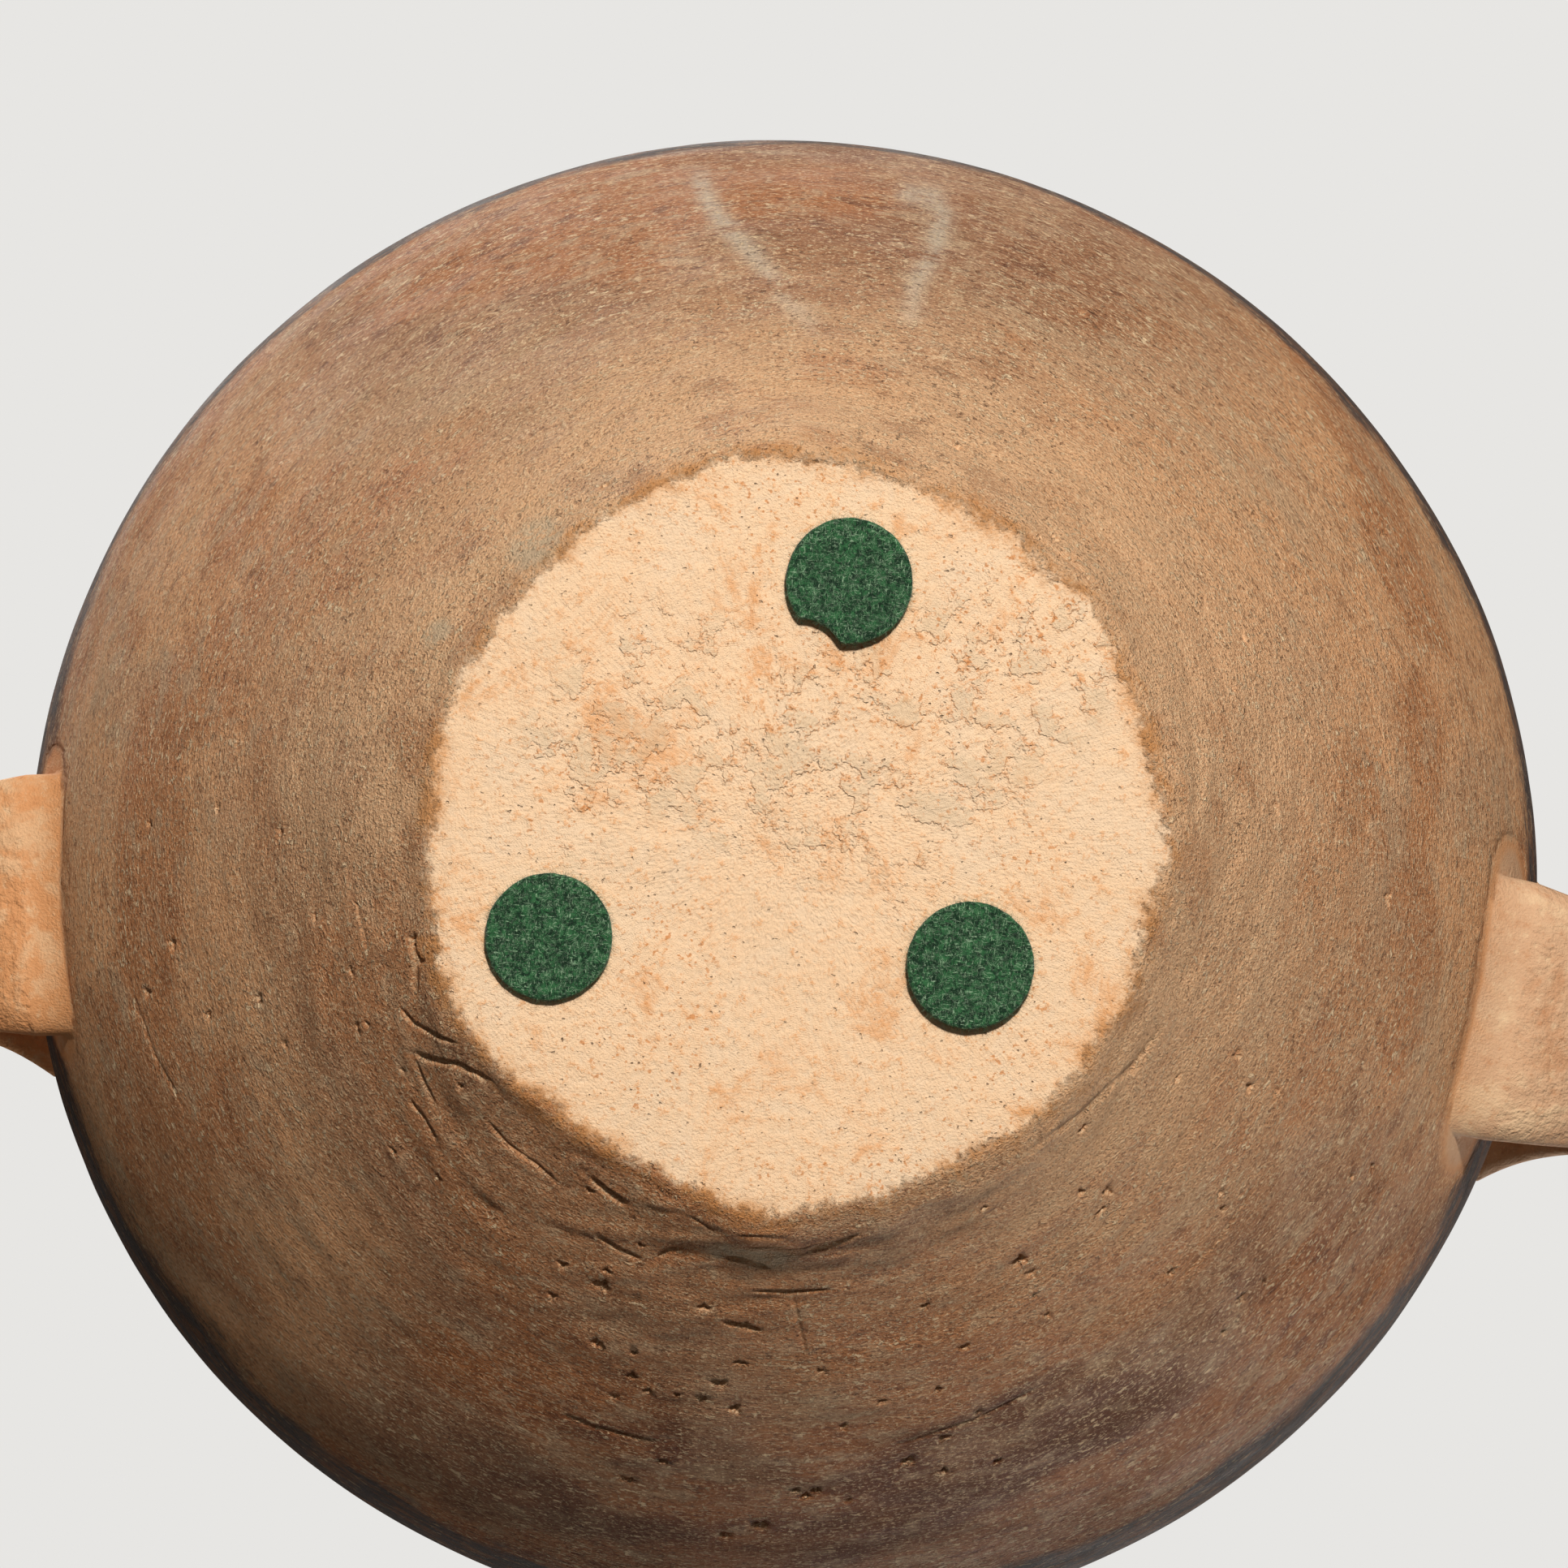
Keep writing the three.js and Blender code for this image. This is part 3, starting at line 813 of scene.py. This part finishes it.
class Graph:
    """The nodes of a material or world, made from short calls that take and give sockets or plain values."""

    def __init__(self, owner):
        self.owner = owner
        owner.use_nodes = True
        self.tree = owner.node_tree
        self.tree.nodes.clear()

    def put(self, value, socket):
        """Set a plain value, or link a socket or a vertex attribute given by its name."""
        if isinstance(value, str):
            value = self.node("ShaderNodeAttribute", attribute_name=value).outputs["Fac"]
        if isinstance(value, bpy.types.NodeSocket):
            self.tree.links.new(value, socket)
        else:
            socket.default_value = value

    def node(self, kind, inputs=(), **settings):
        """A new node; inputs are values in the order of its sockets, or by socket name or number."""
        node = self.tree.nodes.new(kind)
        for key, value in settings.items():
            setattr(node, key, value)
        for key, value in inputs.items() if isinstance(inputs, dict) else enumerate(inputs):
            self.put(value, node.inputs[key])
        return node

    def math(self, operation, a, b=0.0):
        return self.node("ShaderNodeMath", (a, b), operation=operation).outputs[0]

    def add(self, *values):
        total = values[0]
        for value in values[1:]:
            total = self.math("ADD", total, value)
        return total

    def times(self, *values):
        total = values[0]
        for value in values[1:]:
            total = self.math("MULTIPLY", total, value)
        return total

    def most(self, values):
        greatest = values[0]
        for value in values[1:]:
            greatest = self.math("MAXIMUM", greatest, value)
        return greatest

    def less(self, a, b):
        return self.math("SUBTRACT", a, b)

    def swing(self, value, reach):
        """A value about one half, turned into one about zero and scaled."""
        return self.times(self.less(value, 0.5), reach)

    def ramp(self, value, low, high, start=0.0, end=1.0):
        """Smooth step: start below low, end above high; low may be the greater."""
        if low > high:
            low, high, start, end = high, low, end, start
        inputs = value, low, high, start, end
        return self.node("ShaderNodeMapRange", inputs, interpolation_type="SMOOTHSTEP").outputs[0]

    def mix(self, factor, a, b):
        inputs = {0: factor, 6: a, 7: b}
        return self.node("ShaderNodeMix", inputs, data_type="RGBA", clamp_factor=True).outputs[2]

    def coats(self, colour, *coats):
        """Lay coats over a colour: each is a value, its low and high ends, a strength and a paint."""
        for value, low, high, strength, coat in coats:
            colour = self.mix(self.ramp(value, low, high, 0.0, strength), colour, coat)
        return colour

    def stretched(self, vector, x, y, z, turn=0.0, shift=0.0):
        inputs = {
            "Vector": vector,
            "Rotation": (0, 0, math.radians(turn)),
            "Scale": (x, y, z),
            "Location": (shift, shift, shift),
        }
        return self.node("ShaderNodeMapping", inputs).outputs[0]

    def moved(self, vector, shift):
        return self.stretched(vector, 1, 1, 1, shift=shift)

    def noise(self, vector, scale=1.0, detail=2.0, roughness=0.5, distortion=0.0):
        inputs = {
            "Vector": vector,
            "Scale": scale,
            "Detail": detail,
            "Roughness": roughness,
            "Distortion": distortion,
        }
        return self.node("ShaderNodeTexNoise", inputs).outputs[0]

    def line(self, value, middle, width):
        """1 where value is within about width of middle, else 0."""
        return self.ramp(self.math("ABSOLUTE", self.less(value, middle)), width, 0.35 * width)

    def finish(self, colour, roughness, height, depth, sheen=0.0):
        """End a material: its colour, roughness and bump; returns it."""
        bump = self.node("ShaderNodeBump", {"Distance": depth, "Strength": 1.0, "Height": height})
        surface = self.node("ShaderNodeBsdfPrincipled", {
            "Base Color": colour,
            "Roughness": roughness,
            "Specular IOR Level": 0.25,
            "Normal": bump.outputs[0],
        })
        if sheen:
            surface.inputs["Sheen Weight"].default_value = sheen
            surface.inputs["Sheen Roughness"].default_value = 0.4
        self.node("ShaderNodeOutputMaterial", (surface.outputs[0],))
        return self.owner


PEACH = paint(244, 207, 168)
PEACH_PALE = paint(241, 209, 174)
PEACH_ORANGE = paint(230, 168, 114)
BISCUIT_GREY = paint(206, 184, 152)
PIT_FLOOR = paint(212, 156, 110)
SPECK_DARK = paint(112, 78, 54)
SPECK_ORANGE = paint(206, 130, 66)
HALO = paint(206, 140, 78)
BROWN = paint(167, 116, 80)
BROWN_WARM = paint(188, 121, 73)
BROWN_DARK = paint(112, 64, 38)
TAN = paint(199, 154, 117)
PAINTED_LIGHT_TAN = paint(230, 171, 122)
HAZE = paint(196, 164, 130)
SOOT_AND_SHADE_BROWN = paint(100, 68, 50)
CREAM = paint(244, 212, 170)
SAND_AND_LIGHT_TAN = paint(229, 181, 137)
BAND_GREY = paint(78, 70, 68)
BAND_BROWN = paint(128, 90, 66)
HANDLE_ORANGE = paint(225, 156, 100)
HANDLE_PALE = paint(216, 177, 142)
BUFF = paint(204, 160, 114)
GROUND_ORANGE = paint(218, 168, 122)
PAINT_BLACK = paint(58, 50, 48)
PAINT_RED = paint(126, 62, 44)
MILK = paint(206, 190, 168)

# The painting on the shoulder, by its height in millimetres above the dark band's lower edge
BLACK_LEVELS = 58.0, 132.0, 152.0
RED_LEVELS = 66.0, 142.0
WAVE_LEVEL = 92.0
WAVE_HEIGHT = 20.0
WAVES = 4.0
TOOTH_ANGLE = 0.09
ZIGZAG_LEVEL = 182.0

# The jar's zones, each with a material that draws only what shows there
ZONES = ["base", "foot", "wall", "belly", "shoulder", "handle", "inside", "seam"]


def base_look(g, at):
    """The underside: peach biscuit with pale and orange blotches, flaked scales and specks."""
    cloud = g.noise(at, 46, 5, 0.75, 0.6)
    fine = g.noise(at, 430, 4, 0.8)
    scale = g.noise(g.moved(at, 5.3), 150, 4, 0.62)
    grit = g.noise(g.moved(at, 8.0), 900, 1, 0.5)
    colour = g.coats(
        PEACH,
        (cloud, 0.48, 0.64, 1.0, PEACH_PALE),
        (cloud, 0.47, 0.33, 0.8, PEACH_ORANGE),
        (fine, 0.54, 0.68, 0.75, PEACH_ORANGE),
        (fine, 0.47, 0.34, 0.8, PEACH_PALE),
    )
    flaked = g.ramp(g.add("flaked", g.times("here", 0.8)), 0.62, 1.0)
    colour = g.mix(g.times(g.ramp(scale, 0.52, 0.6), flaked, 0.38), colour, BISCUIT_GREY)
    rim = g.times(g.line(scale, 0.527, 0.022), flaked, g.ramp(fine, 0.4, 0.56), 0.42)
    colour = g.mix(rim, colour, SPECK_ORANGE)
    many = g.ramp("blotch", 0.4, 0.6, 0.25, 1.0)
    # dark specks in tiny holes: painted shade
    shaded_hole = g.ramp(grit, 0.28, 0.2)
    colour = g.mix(g.times(g.ramp(grit, 0.62, 0.74), many, 0.75), colour, SPECK_ORANGE)
    colour = g.mix(g.times(shaded_hole, many, 0.7), colour, SPECK_DARK)
    scales = g.times(g.ramp(scale, 0.5, 0.56), flaked, 0.3)
    return colour, g.add(scales, g.times(fine, 0.9), g.times(shaded_hole, -0.4))


def wall_look(g, at, place, calm=1.0):
    """The unpainted lower wall: brown, wiped round, with tan haze, pale flecks and fine scratches; painted
    light and shade by side, painted shade in nicks and painted highlight on the flecks.
    """
    streak = g.noise(g.stretched(place, 12, 12, 170), 1, 3, 0.65, 0.5)
    thread = g.noise(g.stretched(place, 34, 34, 800, shift=2.0), 1, 4, 0.8)
    dash = g.noise(g.stretched(place, 56, 56, 800, shift=4.0), 1, 3, 0.6)
    fine = g.noise(g.stretched(place, 150, 150, 1900, shift=7.0), 1, 2, 0.6)
    colour = g.coats(
        BROWN_WARM,
        ("patch", 0.4, 0.58, 1.0, BROWN),
        # painted light and painted shade: the wall lighter or darker by its side
        ("painted_light_and_shade", 0.0, 0.8, 1.0, PAINTED_LIGHT_TAN),
        ("painted_light_and_shade", 0.0, -0.8, 1.0, BROWN_DARK),
        ("blotch", 0.48, 0.62, 0.45, TAN),
        ("patch", 0.5, 0.4, 0.7, BROWN_WARM),
        (streak, 0.52, 0.66, 0.6, HAZE),
    )
    # dark grain is weaker where the wall is painted lighter
    shade = g.ramp("painted_light_and_shade", 0.6, -0.2, 0.55, 1.0)
    colour = g.mix(g.times(g.ramp(streak, 0.46, 0.32, 0, 0.7), shade), colour, BROWN_DARK)
    colour = g.mix(g.times(g.ramp(thread, 0.48, 0.34, 0, 0.8), shade), colour, BROWN_DARK)
    colour = g.coats(colour, (thread, 0.53, 0.66, 0.75, TAN))
    ragged = g.add("ragged", g.swing(thread, 0.6))
    # grey haze and milk drips are real stains; the soot coat is partly dark stain and partly painted shade
    for stain, low, high, stain_paint in (
        ("grey", 0.38, 0.54, HAZE),
        ("soot_and_shade", 0.4, 0.54, SOOT_AND_SHADE_BROWN),
        ("milk", 0.28, 0.5, MILK),
    ):
        colour = g.mix(g.times(stain, g.ramp(ragged, low, high)), colour, stain_paint)
    # a sandy tan near the foot: partly sand, partly painted light on the lit side
    sand_and_light = g.times(g.ramp("foot", 64.0, 4.0), g.ramp(ragged, 0.3, 0.52, 0.5, 1.0))
    colour = g.mix(g.times(sand_and_light, "sand_and_light"), colour, SAND_AND_LIGHT_TAN)
    many = g.times(g.ramp("many", 0.4, 0.58, 0.45, 1.0), calm)
    # pale flecks on raised grains: partly pale temper, partly painted highlight on their lips
    fleck_and_highlight = g.times(g.ramp(dash, 0.59, 0.64), many)
    # nicks: dark colour in their hollows, painted shade
    shaded_nick = g.times(g.ramp(dash, 0.38, 0.33), many)
    colour = g.mix(g.times(fleck_and_highlight, 0.95), colour, CREAM)
    colour = g.mix(g.times(shaded_nick, 0.5, shade), colour, BROWN_DARK)
    colour = g.coats(colour, (fine, 0.54, 0.68, 0.7, CREAM), (fine, 0.45, 0.32, 0.5, BROWN_DARK))
    for turn, shift, strength, where in ((38, 1.0, 0.45, "blotch"), (-20, 4.0, 0.4, "here")):
        field = g.noise(g.stretched(at, 9, 330, 160, turn, shift), 1, 1, 0.4)
        scratch = g.times(g.line(field, 0.5, 0.007), g.ramp(where, 0.45, 0.6), strength)
        colour = g.mix(scratch, colour, CREAM)
    height = g.add(g.times(thread, 1.1), g.times(fleck_and_highlight, 0.6), g.times(shaded_nick, -1.3), g.times(fine, 0.6))
    return colour, height, thread, fleck_and_highlight


def belly_look(g, place, wall, thread, fleck_and_highlight):
    """The worn dark band that begins below the belly's widest line."""
    ragged = g.noise(g.stretched(place, 6, 6, 70, shift=1.0), 1, 5, 0.7)
    edge = g.add("band", g.swing(ragged, 34.0), g.swing(thread, 22.0))
    worn = g.noise(g.stretched(place, 14, 14, 330, shift=3.0), 1, 4, 0.75)
    worn = g.ramp(g.add(worn, g.times(thread, 0.4)), 0.66, 0.82)
    colour = g.mix(g.times(worn, 0.85), BAND_GREY, BAND_BROWN)
    # pale flecks on the band: partly pale temper, partly painted highlight
    colour = g.mix(g.times(fleck_and_highlight, 0.4), colour, CREAM)
    return g.mix(g.ramp(edge, -3.0, 7.0), wall, colour)


def shoulder_look(g, at, place):
    """Above the belly: a buff ground with worn black and red bands and one waved band round the shoulder."""
    parts = g.node("ShaderNodeSeparateXYZ", (place,))
    angle = g.math("ARCTAN2", parts.outputs[1], parts.outputs[0])
    thread = g.noise(g.stretched(place, 26, 26, 620, shift=2.0), 1, 3, 0.7)
    wear = g.ramp(g.add(g.noise(at, 90, 5, 0.7), g.times(thread, 0.3)), 0.68, 0.8, 0.95, 0.3)
    ground = g.coats(
        BUFF,
        ("blotch", 0.42, 0.6, 1.0, GROUND_ORANGE),
        (thread, 0.48, 0.32, 0.4, BROWN_WARM),
    )
    wave = g.add(WAVE_LEVEL, g.times(g.math("SINE", g.times(angle, WAVES)), WAVE_HEIGHT))
    off_wave = g.math("ABSOLUTE", g.less("band", wave))
    teeth = g.math("PINGPONG", g.times(angle, 1 / TOOTH_ANGLE), 0.5)
    black = [g.line(off_wave, 0.0, 7.0), g.ramp(g.less(off_wave, g.add(6.0, g.times(teeth, 9.0))), 0.4, -0.4)]
    black += [g.line("band", level, 3.2) for level in BLACK_LEVELS]
    zigzag = g.less(g.math("PINGPONG", g.times(angle, 45.0), 14.0), g.less("band", ZIGZAG_LEVEL))
    black.append(g.times(g.line(zigzag, 0.0, 3.4), g.ramp("band", 178.0, 180.0)))
    red = [g.times(g.line(off_wave, 20.0, 3.4), g.ramp("band", 62.0, 66.0), g.ramp("band", 130.0, 126.0))]
    red += [g.line("band", level, 3.0) for level in RED_LEVELS]
    colour = g.mix(g.times(g.most(red), wear), ground, PAINT_RED)
    return g.mix(g.times(g.most(black), wear), colour, PAINT_BLACK), g.times(thread, 0.5)


def handle_look(g, at, place):
    """The handles: plain orange clay on the left and paler on the right, rubbed and chipped."""
    across = g.node("ShaderNodeSeparateXYZ", (place,)).outputs[0]
    fine = g.noise(at, 420, 4, 0.65)
    cloud = g.noise(g.moved(at, 2.0), 55, 4, 0.7, 0.4)
    colour = g.coats(
        g.mix(g.ramp(across, -0.5, 0.5, 0.12, 0.85), HANDLE_ORANGE, HANDLE_PALE),
        (cloud, 0.5, 0.64, 0.45, CREAM),
        (cloud, 0.46, 0.32, 0.4, BROWN_WARM),
        (fine, 0.55, 0.72, 0.4, BROWN_WARM),
        (fine, 0.45, 0.3, 0.4, CREAM),
        ("handle", 0.98, 0.5, 0.75, HANDLE_ORANGE),
    )
    return colour, g.add(g.times(fine, 0.8), g.times(cloud, 2.0))


def clay(zone):
    """The material of one zone; foot, belly and seam blend the looks of their neighbours."""
    g = Graph(bpy.data.materials.new("clay of the " + zone))
    at = g.node("ShaderNodeTexCoord").outputs["Object"]
    place = g.node("ShaderNodeAttribute", attribute_name="place").outputs["Vector"]
    grain = g.noise(at, 1700, 2, 0.6)
    colour, height = None, None
    if zone in ("foot", "wall", "belly", "seam"):
        calm = g.ramp("handle", 0.0, 0.3, 1.0, 0.0) if zone == "seam" else 1.0
        colour, height, thread, fleck_and_highlight = wall_look(g, at, place, calm)
    if zone in ("belly", "seam"):
        colour = belly_look(g, place, colour, thread, fleck_and_highlight)
    if zone in ("belly", "shoulder", "seam"):
        painted, painted_height = shoulder_look(g, at, place)
        upper = g.ramp("band", BAND_WIDTH / MM, BAND_WIDTH / MM + 0.8)
        colour = painted if zone == "shoulder" else g.mix(upper, colour, painted)
        height = painted_height if zone == "shoulder" else height
    if zone in ("base", "foot"):
        base, base_height = base_look(g, at)
    if zone == "base":
        colour, height = base, base_height
    if zone == "foot":
        # the base's edge is ragged, with an orange halo and grey patches
        edge = g.add("foot", g.swing(g.noise(at, 230, 6, 0.8), 11.0))
        on_base = g.ramp(edge, 0.2, -2.4)
        colour = g.mix(on_base, colour, base)
        halo = g.times(g.ramp(edge, -5.5, -1.0), g.ramp(edge, 4.0, -0.5))
        halo = g.times(halo, g.ramp(g.noise(at, 130, 5, 0.75), 0.4, 0.62), 0.75)
        colour = g.mix(halo, colour, HALO)
        pale = g.times(g.ramp("grey", 0.35, 0.7), g.ramp(g.noise(at, 240, 4, 0.75), 0.4, 0.52))
        colour = g.mix(g.times(pale, 0.7), colour, BISCUIT_GREY)
        height = g.add(g.times(on_base, base_height), g.times(g.less(1.0, on_base), height))
    if zone in ("handle", "seam"):
        handle, handle_height = handle_look(g, at, place)
        on_handle = g.ramp(g.add("handle", g.swing(g.noise(at, 110, 4, 0.7), 0.5)), 0.2, 0.8)
        colour = handle if zone == "handle" else g.mix(on_handle, colour, handle)
        height = handle_height if zone == "handle" else g.times(height, calm)
    if zone in ("inside", "seam"):
        # the inside, out of the wiping cloth's reach, is plain buff
        inside = g.coats(BUFF, ("blotch", 0.4, 0.6, 1.0, BROWN_WARM))
        colour = inside if zone == "inside" else g.mix("inside", colour, inside)
        height = grain if zone == "inside" else height
    if zone in ("foot", "wall", "belly"):
        floor = g.mix(g.ramp(grain, 0.45, 0.6), PIT_FLOOR, CREAM)
        colour = g.coats(colour, ("pit", 0.2, 0.7, 0.6, floor))
    roughness = g.ramp("ragged", 0.3, 0.7, 0.68, 0.84)
    return g.finish(colour, roughness, g.add(height, g.times(grain, 0.25)), 1.0 * MM)


FELT_GREEN = paint(50, 102, 62)
FELT_DEEP = paint(17, 46, 28)
FELT_LIGHT = paint(168, 200, 164)


def felt(name, colour_a, colour_b):
    """Pressed felt: tufts of two greens under crossed light fibres."""
    g = Graph(bpy.data.materials.new(name))
    at = g.node("ShaderNodeTexCoord").outputs["Object"]
    tuft = g.noise(at, 620, 5, 0.85, 0.6)
    fibre = g.noise(g.stretched(at, 900, 3600, 1500, 28), 1, 3, 0.7, 0.6)
    other = g.noise(g.stretched(at, 3600, 900, 1500, -12, 2.0), 1, 3, 0.7, 0.6)
    colour = g.coats(
        colour_a,
        (tuft, 0.43, 0.58, 1.0, colour_b),
        (g.math("MAXIMUM", fibre, other), 0.57, 0.69, 0.75, FELT_LIGHT),
    )
    height = g.add(g.times(tuft, 0.6), g.times(fibre, 0.5), g.times(other, 0.5))
    return g.finish(colour, 0.95, height, 0.35 * MM, sheen=0.25)


# Felt pads

def pad_outline(bite_angle, radius, angles):
    """The pad's radius by angle; one pad has a bite out of its edge."""
    reach = np.full(len(angles), radius)
    if bite_angle is not None:
        centre = radius + PAD_BITE_RADIUS - PAD_BITE_DEPTH
        off = (angles - bite_angle + math.pi) % (2 * math.pi) - math.pi
        under = PAD_BITE_RADIUS ** 2 - (centre * np.sin(off)) ** 2
        hit = centre * np.cos(off) - np.sqrt(np.maximum(under, 0))
        reach = np.where((under > 0) & (np.abs(off) < 1), np.minimum(reach, hit), reach)
    return reach


def fibre(start, heading, curl, length):
    """A thin tapered strand that lies nearly flat: a row of three-sided rings to a point."""
    vertices = []
    place = np.array(start)
    steps = STRAND_STEPS
    for k in range(steps + 1):
        share = k / steps
        side = np.array([-math.sin(heading), math.cos(heading), 0])
        half = STRAND_THICKNESS / 2 * (1 - 0.75 * share)
        vertices += [place + side * half, place - side * half, place + (0, 0, half * 1.4)]
        ahead = np.array([math.cos(heading), math.sin(heading), STRAND_RISE * (0.5 - share)])
        place = place + ahead * length / steps
        heading += curl / steps
    faces = []
    for k in range(steps):
        a, b = 3 * k, 3 * k + 3
        faces += [(a + i, a + (i + 1) % 3, b + (i + 1) % 3, b + i) for i in range(3)]
    faces += [(0, 2, 1), (3 * steps, 3 * steps + 1, 3 * steps + 2)]
    return vertices, faces


def pad_strands(draw, angles, reach, centre, bottom, thickness):
    """Loose strands on the pad's edge and underside, each with its faces."""
    for k in range(STRANDS):
        turn = draw.random() * 2 * math.pi
        edge = np.interp(turn, np.r_[angles, 2 * math.pi], np.r_[reach, reach[0]])
        if k % 4 == 0:
            share = 0.97
            height = (draw.random() * 0.7 + 0.1) * thickness
            heading = turn + draw.normal() * 0.9
            length = (0.7 + 1.1 * draw.random()) * MM
        else:
            share = math.sqrt(draw.random()) * 0.95
            height = 0.12 * MM
            heading = draw.random() * 2 * math.pi
            length = (1.2 + 2.0 * draw.random()) * MM
        x, y = centre[0] + edge * share * math.cos(turn), centre[1] + edge * share * math.sin(turn)
        yield fibre((x, y, bottom + height), heading, draw.normal() * 0.8, length)


def felt_pad(node, bite_angle, materials):
    """A thick disc of felt with a fuzzy edge, an uneven underside and loose strands."""
    low, high = (np.array(corner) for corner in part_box(node))
    radius = (high[0] - low[0]) / 2
    centre = np.array([(low[0] + high[0]) / 2, (low[1] + high[1]) / 2])
    if bite_angle is not None:
        # the bite may shorten the box, so the middle is found from the side that it leaves whole
        radius = PAD_RADIUS
        centre = np.array([low[0] + radius, low[1] + radius])
    thickness = high[2] - low[2]
    angles = np.arange(PAD_SIDES) * 2 * math.pi / PAD_SIDES
    around = np.c_[np.cos(angles) * 9, np.sin(angles) * 9, angles * 0 + centre[0] * 900]
    reach = pad_outline(bite_angle, radius, angles)
    reach = reach - 0.12 * MM + (layered(around, 3) - 0.5) * 0.3 * MM
    vertices, rows = [], []
    for share, level in PAD_SECTION:
        height = low[2] + thickness * level
        if share == 0:
            rows.append((len(vertices), 1))
            vertices.append((centre[0], centre[1], height))
            continue
        rows.append((len(vertices), PAD_SIDES))
        x = centre[0] + reach * share * np.cos(angles)
        y = centre[1] + reach * share * np.sin(angles)
        z = np.full(PAD_SIDES, height)
        if level < 0.1:
            here = np.c_[x, y, z]
            z = z + (layered(here * 420, 3) - 0.5) * 0.5 * MM
            if bite_angle is not None:
                crease = (layered(here * (90, 420, 100), 2) - 0.5) * 0.8 * MM
                crease *= smooth(x - centre[0], -3 * MM, 6 * MM)
                z = z + np.maximum(crease, 0)
            z = np.maximum(z, low[2] + 0.05 * MM)
        vertices += list(zip(x, y, z))
    faces = [f[::-1] for f in stitch(rows)]
    draw = np.random.default_rng(round(centre[0] * 1e5) % 1000 + 7)
    pad_faces = len(faces)
    for strand, strand_faces in pad_strands(draw, angles, reach, centre, low[2], thickness):
        first = len(vertices)
        vertices += strand
        faces += [tuple(i + first for i in f) for f in strand_faces]
    pad = make_object(node.replace("_pad_", "_disc_"), vertices, faces)
    for material in materials:
        pad.data.materials.append(material)
    for polygon in pad.data.polygons:
        polygon.use_smooth = True
        strand = (polygon.index - pad_faces) // STRAND_FACES
        if strand >= 0:
            # one strand in three is light
            polygon.material_index = 1 + (strand % 3 > 0)
    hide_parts(node)
    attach(pad, "root")


jar_values = mark_places(jar)
jar.data.materials.clear()
for zone_name in ZONES:
    jar.data.materials.append(clay(zone_name))
choose_zones(jar, jar_values)
greens = [
    felt("felt", FELT_DEEP, FELT_GREEN),
    felt("felt strands", FELT_GREEN, FELT_LIGHT),
    felt("felt tips", FELT_DEEP, FELT_GREEN),
]
for pad_node, pad_bite in PADS.items():
    felt_pad(pad_node, pad_bite, greens)


# Stage

FLOOR_REACH = 6.0
FLOOR_COLOUR = 0.72, 0.71, 0.69, 1
STUDIO_COLOUR = 0.80, 0.79, 0.77, 1
STUDIO_LIGHT = 1.0, 0.89, 0.77, 1
# Name, place, aim, size, power in watts, and colour; the key light stands below, as in the photograph
LIGHTS = [
    ("key", (0.16, -0.70, -1.45), (0, 0, 0.05), 0.18, 30.3, (1.0, 0.97, 0.92)),
    ("overhead", (-1.3, -2.2, 3.0), (0, 0, 0.15), 3.5, 150, (1.0, 0.98, 0.95)),
    ("overhead_back", (2.0, 2.4, 2.8), (0, 0, 0.15), 3.5, 90, (1.0, 0.98, 0.95)),
]


def camera():
    """The photograph's camera, set out from its axes."""
    data = bpy.data.cameras.new("camera")
    data.sensor_width = 36
    data.lens = FOCAL_PIXELS / PHOTO_SIZE * data.sensor_width
    obj = bpy.data.objects.new("camera", data)
    right, down, forward = camera_axes()
    place = Matrix.Identity(4)
    for i in range(3):
        place[i][0], place[i][1], place[i][2] = right[i], -down[i], -forward[i]
        place[i][3] = CAMERA_PLACE[i]
    obj.matrix_world = place
    bpy.context.scene.collection.objects.link(obj)
    bpy.context.scene.camera = obj


def area_light(name, place, aim, size, power, colour):
    data = bpy.data.lights.new(name, "AREA")
    data.shape = "DISK"
    data.size = size
    data.energy = power
    data.color = colour
    obj = bpy.data.objects.new(name, data)
    towards = Vector(aim) - Vector(place)
    obj.location = place
    obj.rotation_euler = towards.to_track_quat("-Z", "Y").to_euler()
    obj.visible_camera = False
    bpy.context.scene.collection.objects.link(obj)


def stage():
    """A pale floor, clear from below so that the underside shows, in a plain pale studio."""
    far = FLOOR_REACH
    corners = [(-far, -far, 0), (far, -far, 0), (far, far, 0), (-far, far, 0)]
    floor = make_object("floor", corners, [(0, 1, 2, 3)])
    g = Graph(bpy.data.materials.new("floor"))
    from_below = g.node("ShaderNodeNewGeometry").outputs["Backfacing"]
    plain = g.node("ShaderNodeBsdfDiffuse", (FLOOR_COLOUR,)).outputs[0]
    clear = g.node("ShaderNodeBsdfTransparent").outputs[0]
    mix = g.node("ShaderNodeMixShader", (from_below, plain, clear))
    g.node("ShaderNodeOutputMaterial", (mix.outputs[0],))
    floor.data.materials.append(g.owner)
    floor.visible_shadow = False
    floor.visible_diffuse = False

    world = bpy.data.worlds.new("studio")
    bpy.context.scene.world = world
    g = Graph(world)
    seen = g.node("ShaderNodeBackground", {"Color": STUDIO_COLOUR}).outputs[0]
    lighting = g.node("ShaderNodeBackground", {"Color": STUDIO_LIGHT, "Strength": 0.07}).outputs[0]
    to_camera = g.node("ShaderNodeLightPath").outputs["Is Camera Ray"]
    mix = g.node("ShaderNodeMixShader", (to_camera, lighting, seen))
    g.node("ShaderNodeOutputWorld", (mix.outputs[0],))
    bpy.context.scene.view_settings.view_transform = "Standard"


stage()
for light in LIGHTS:
    area_light(*light)
camera()
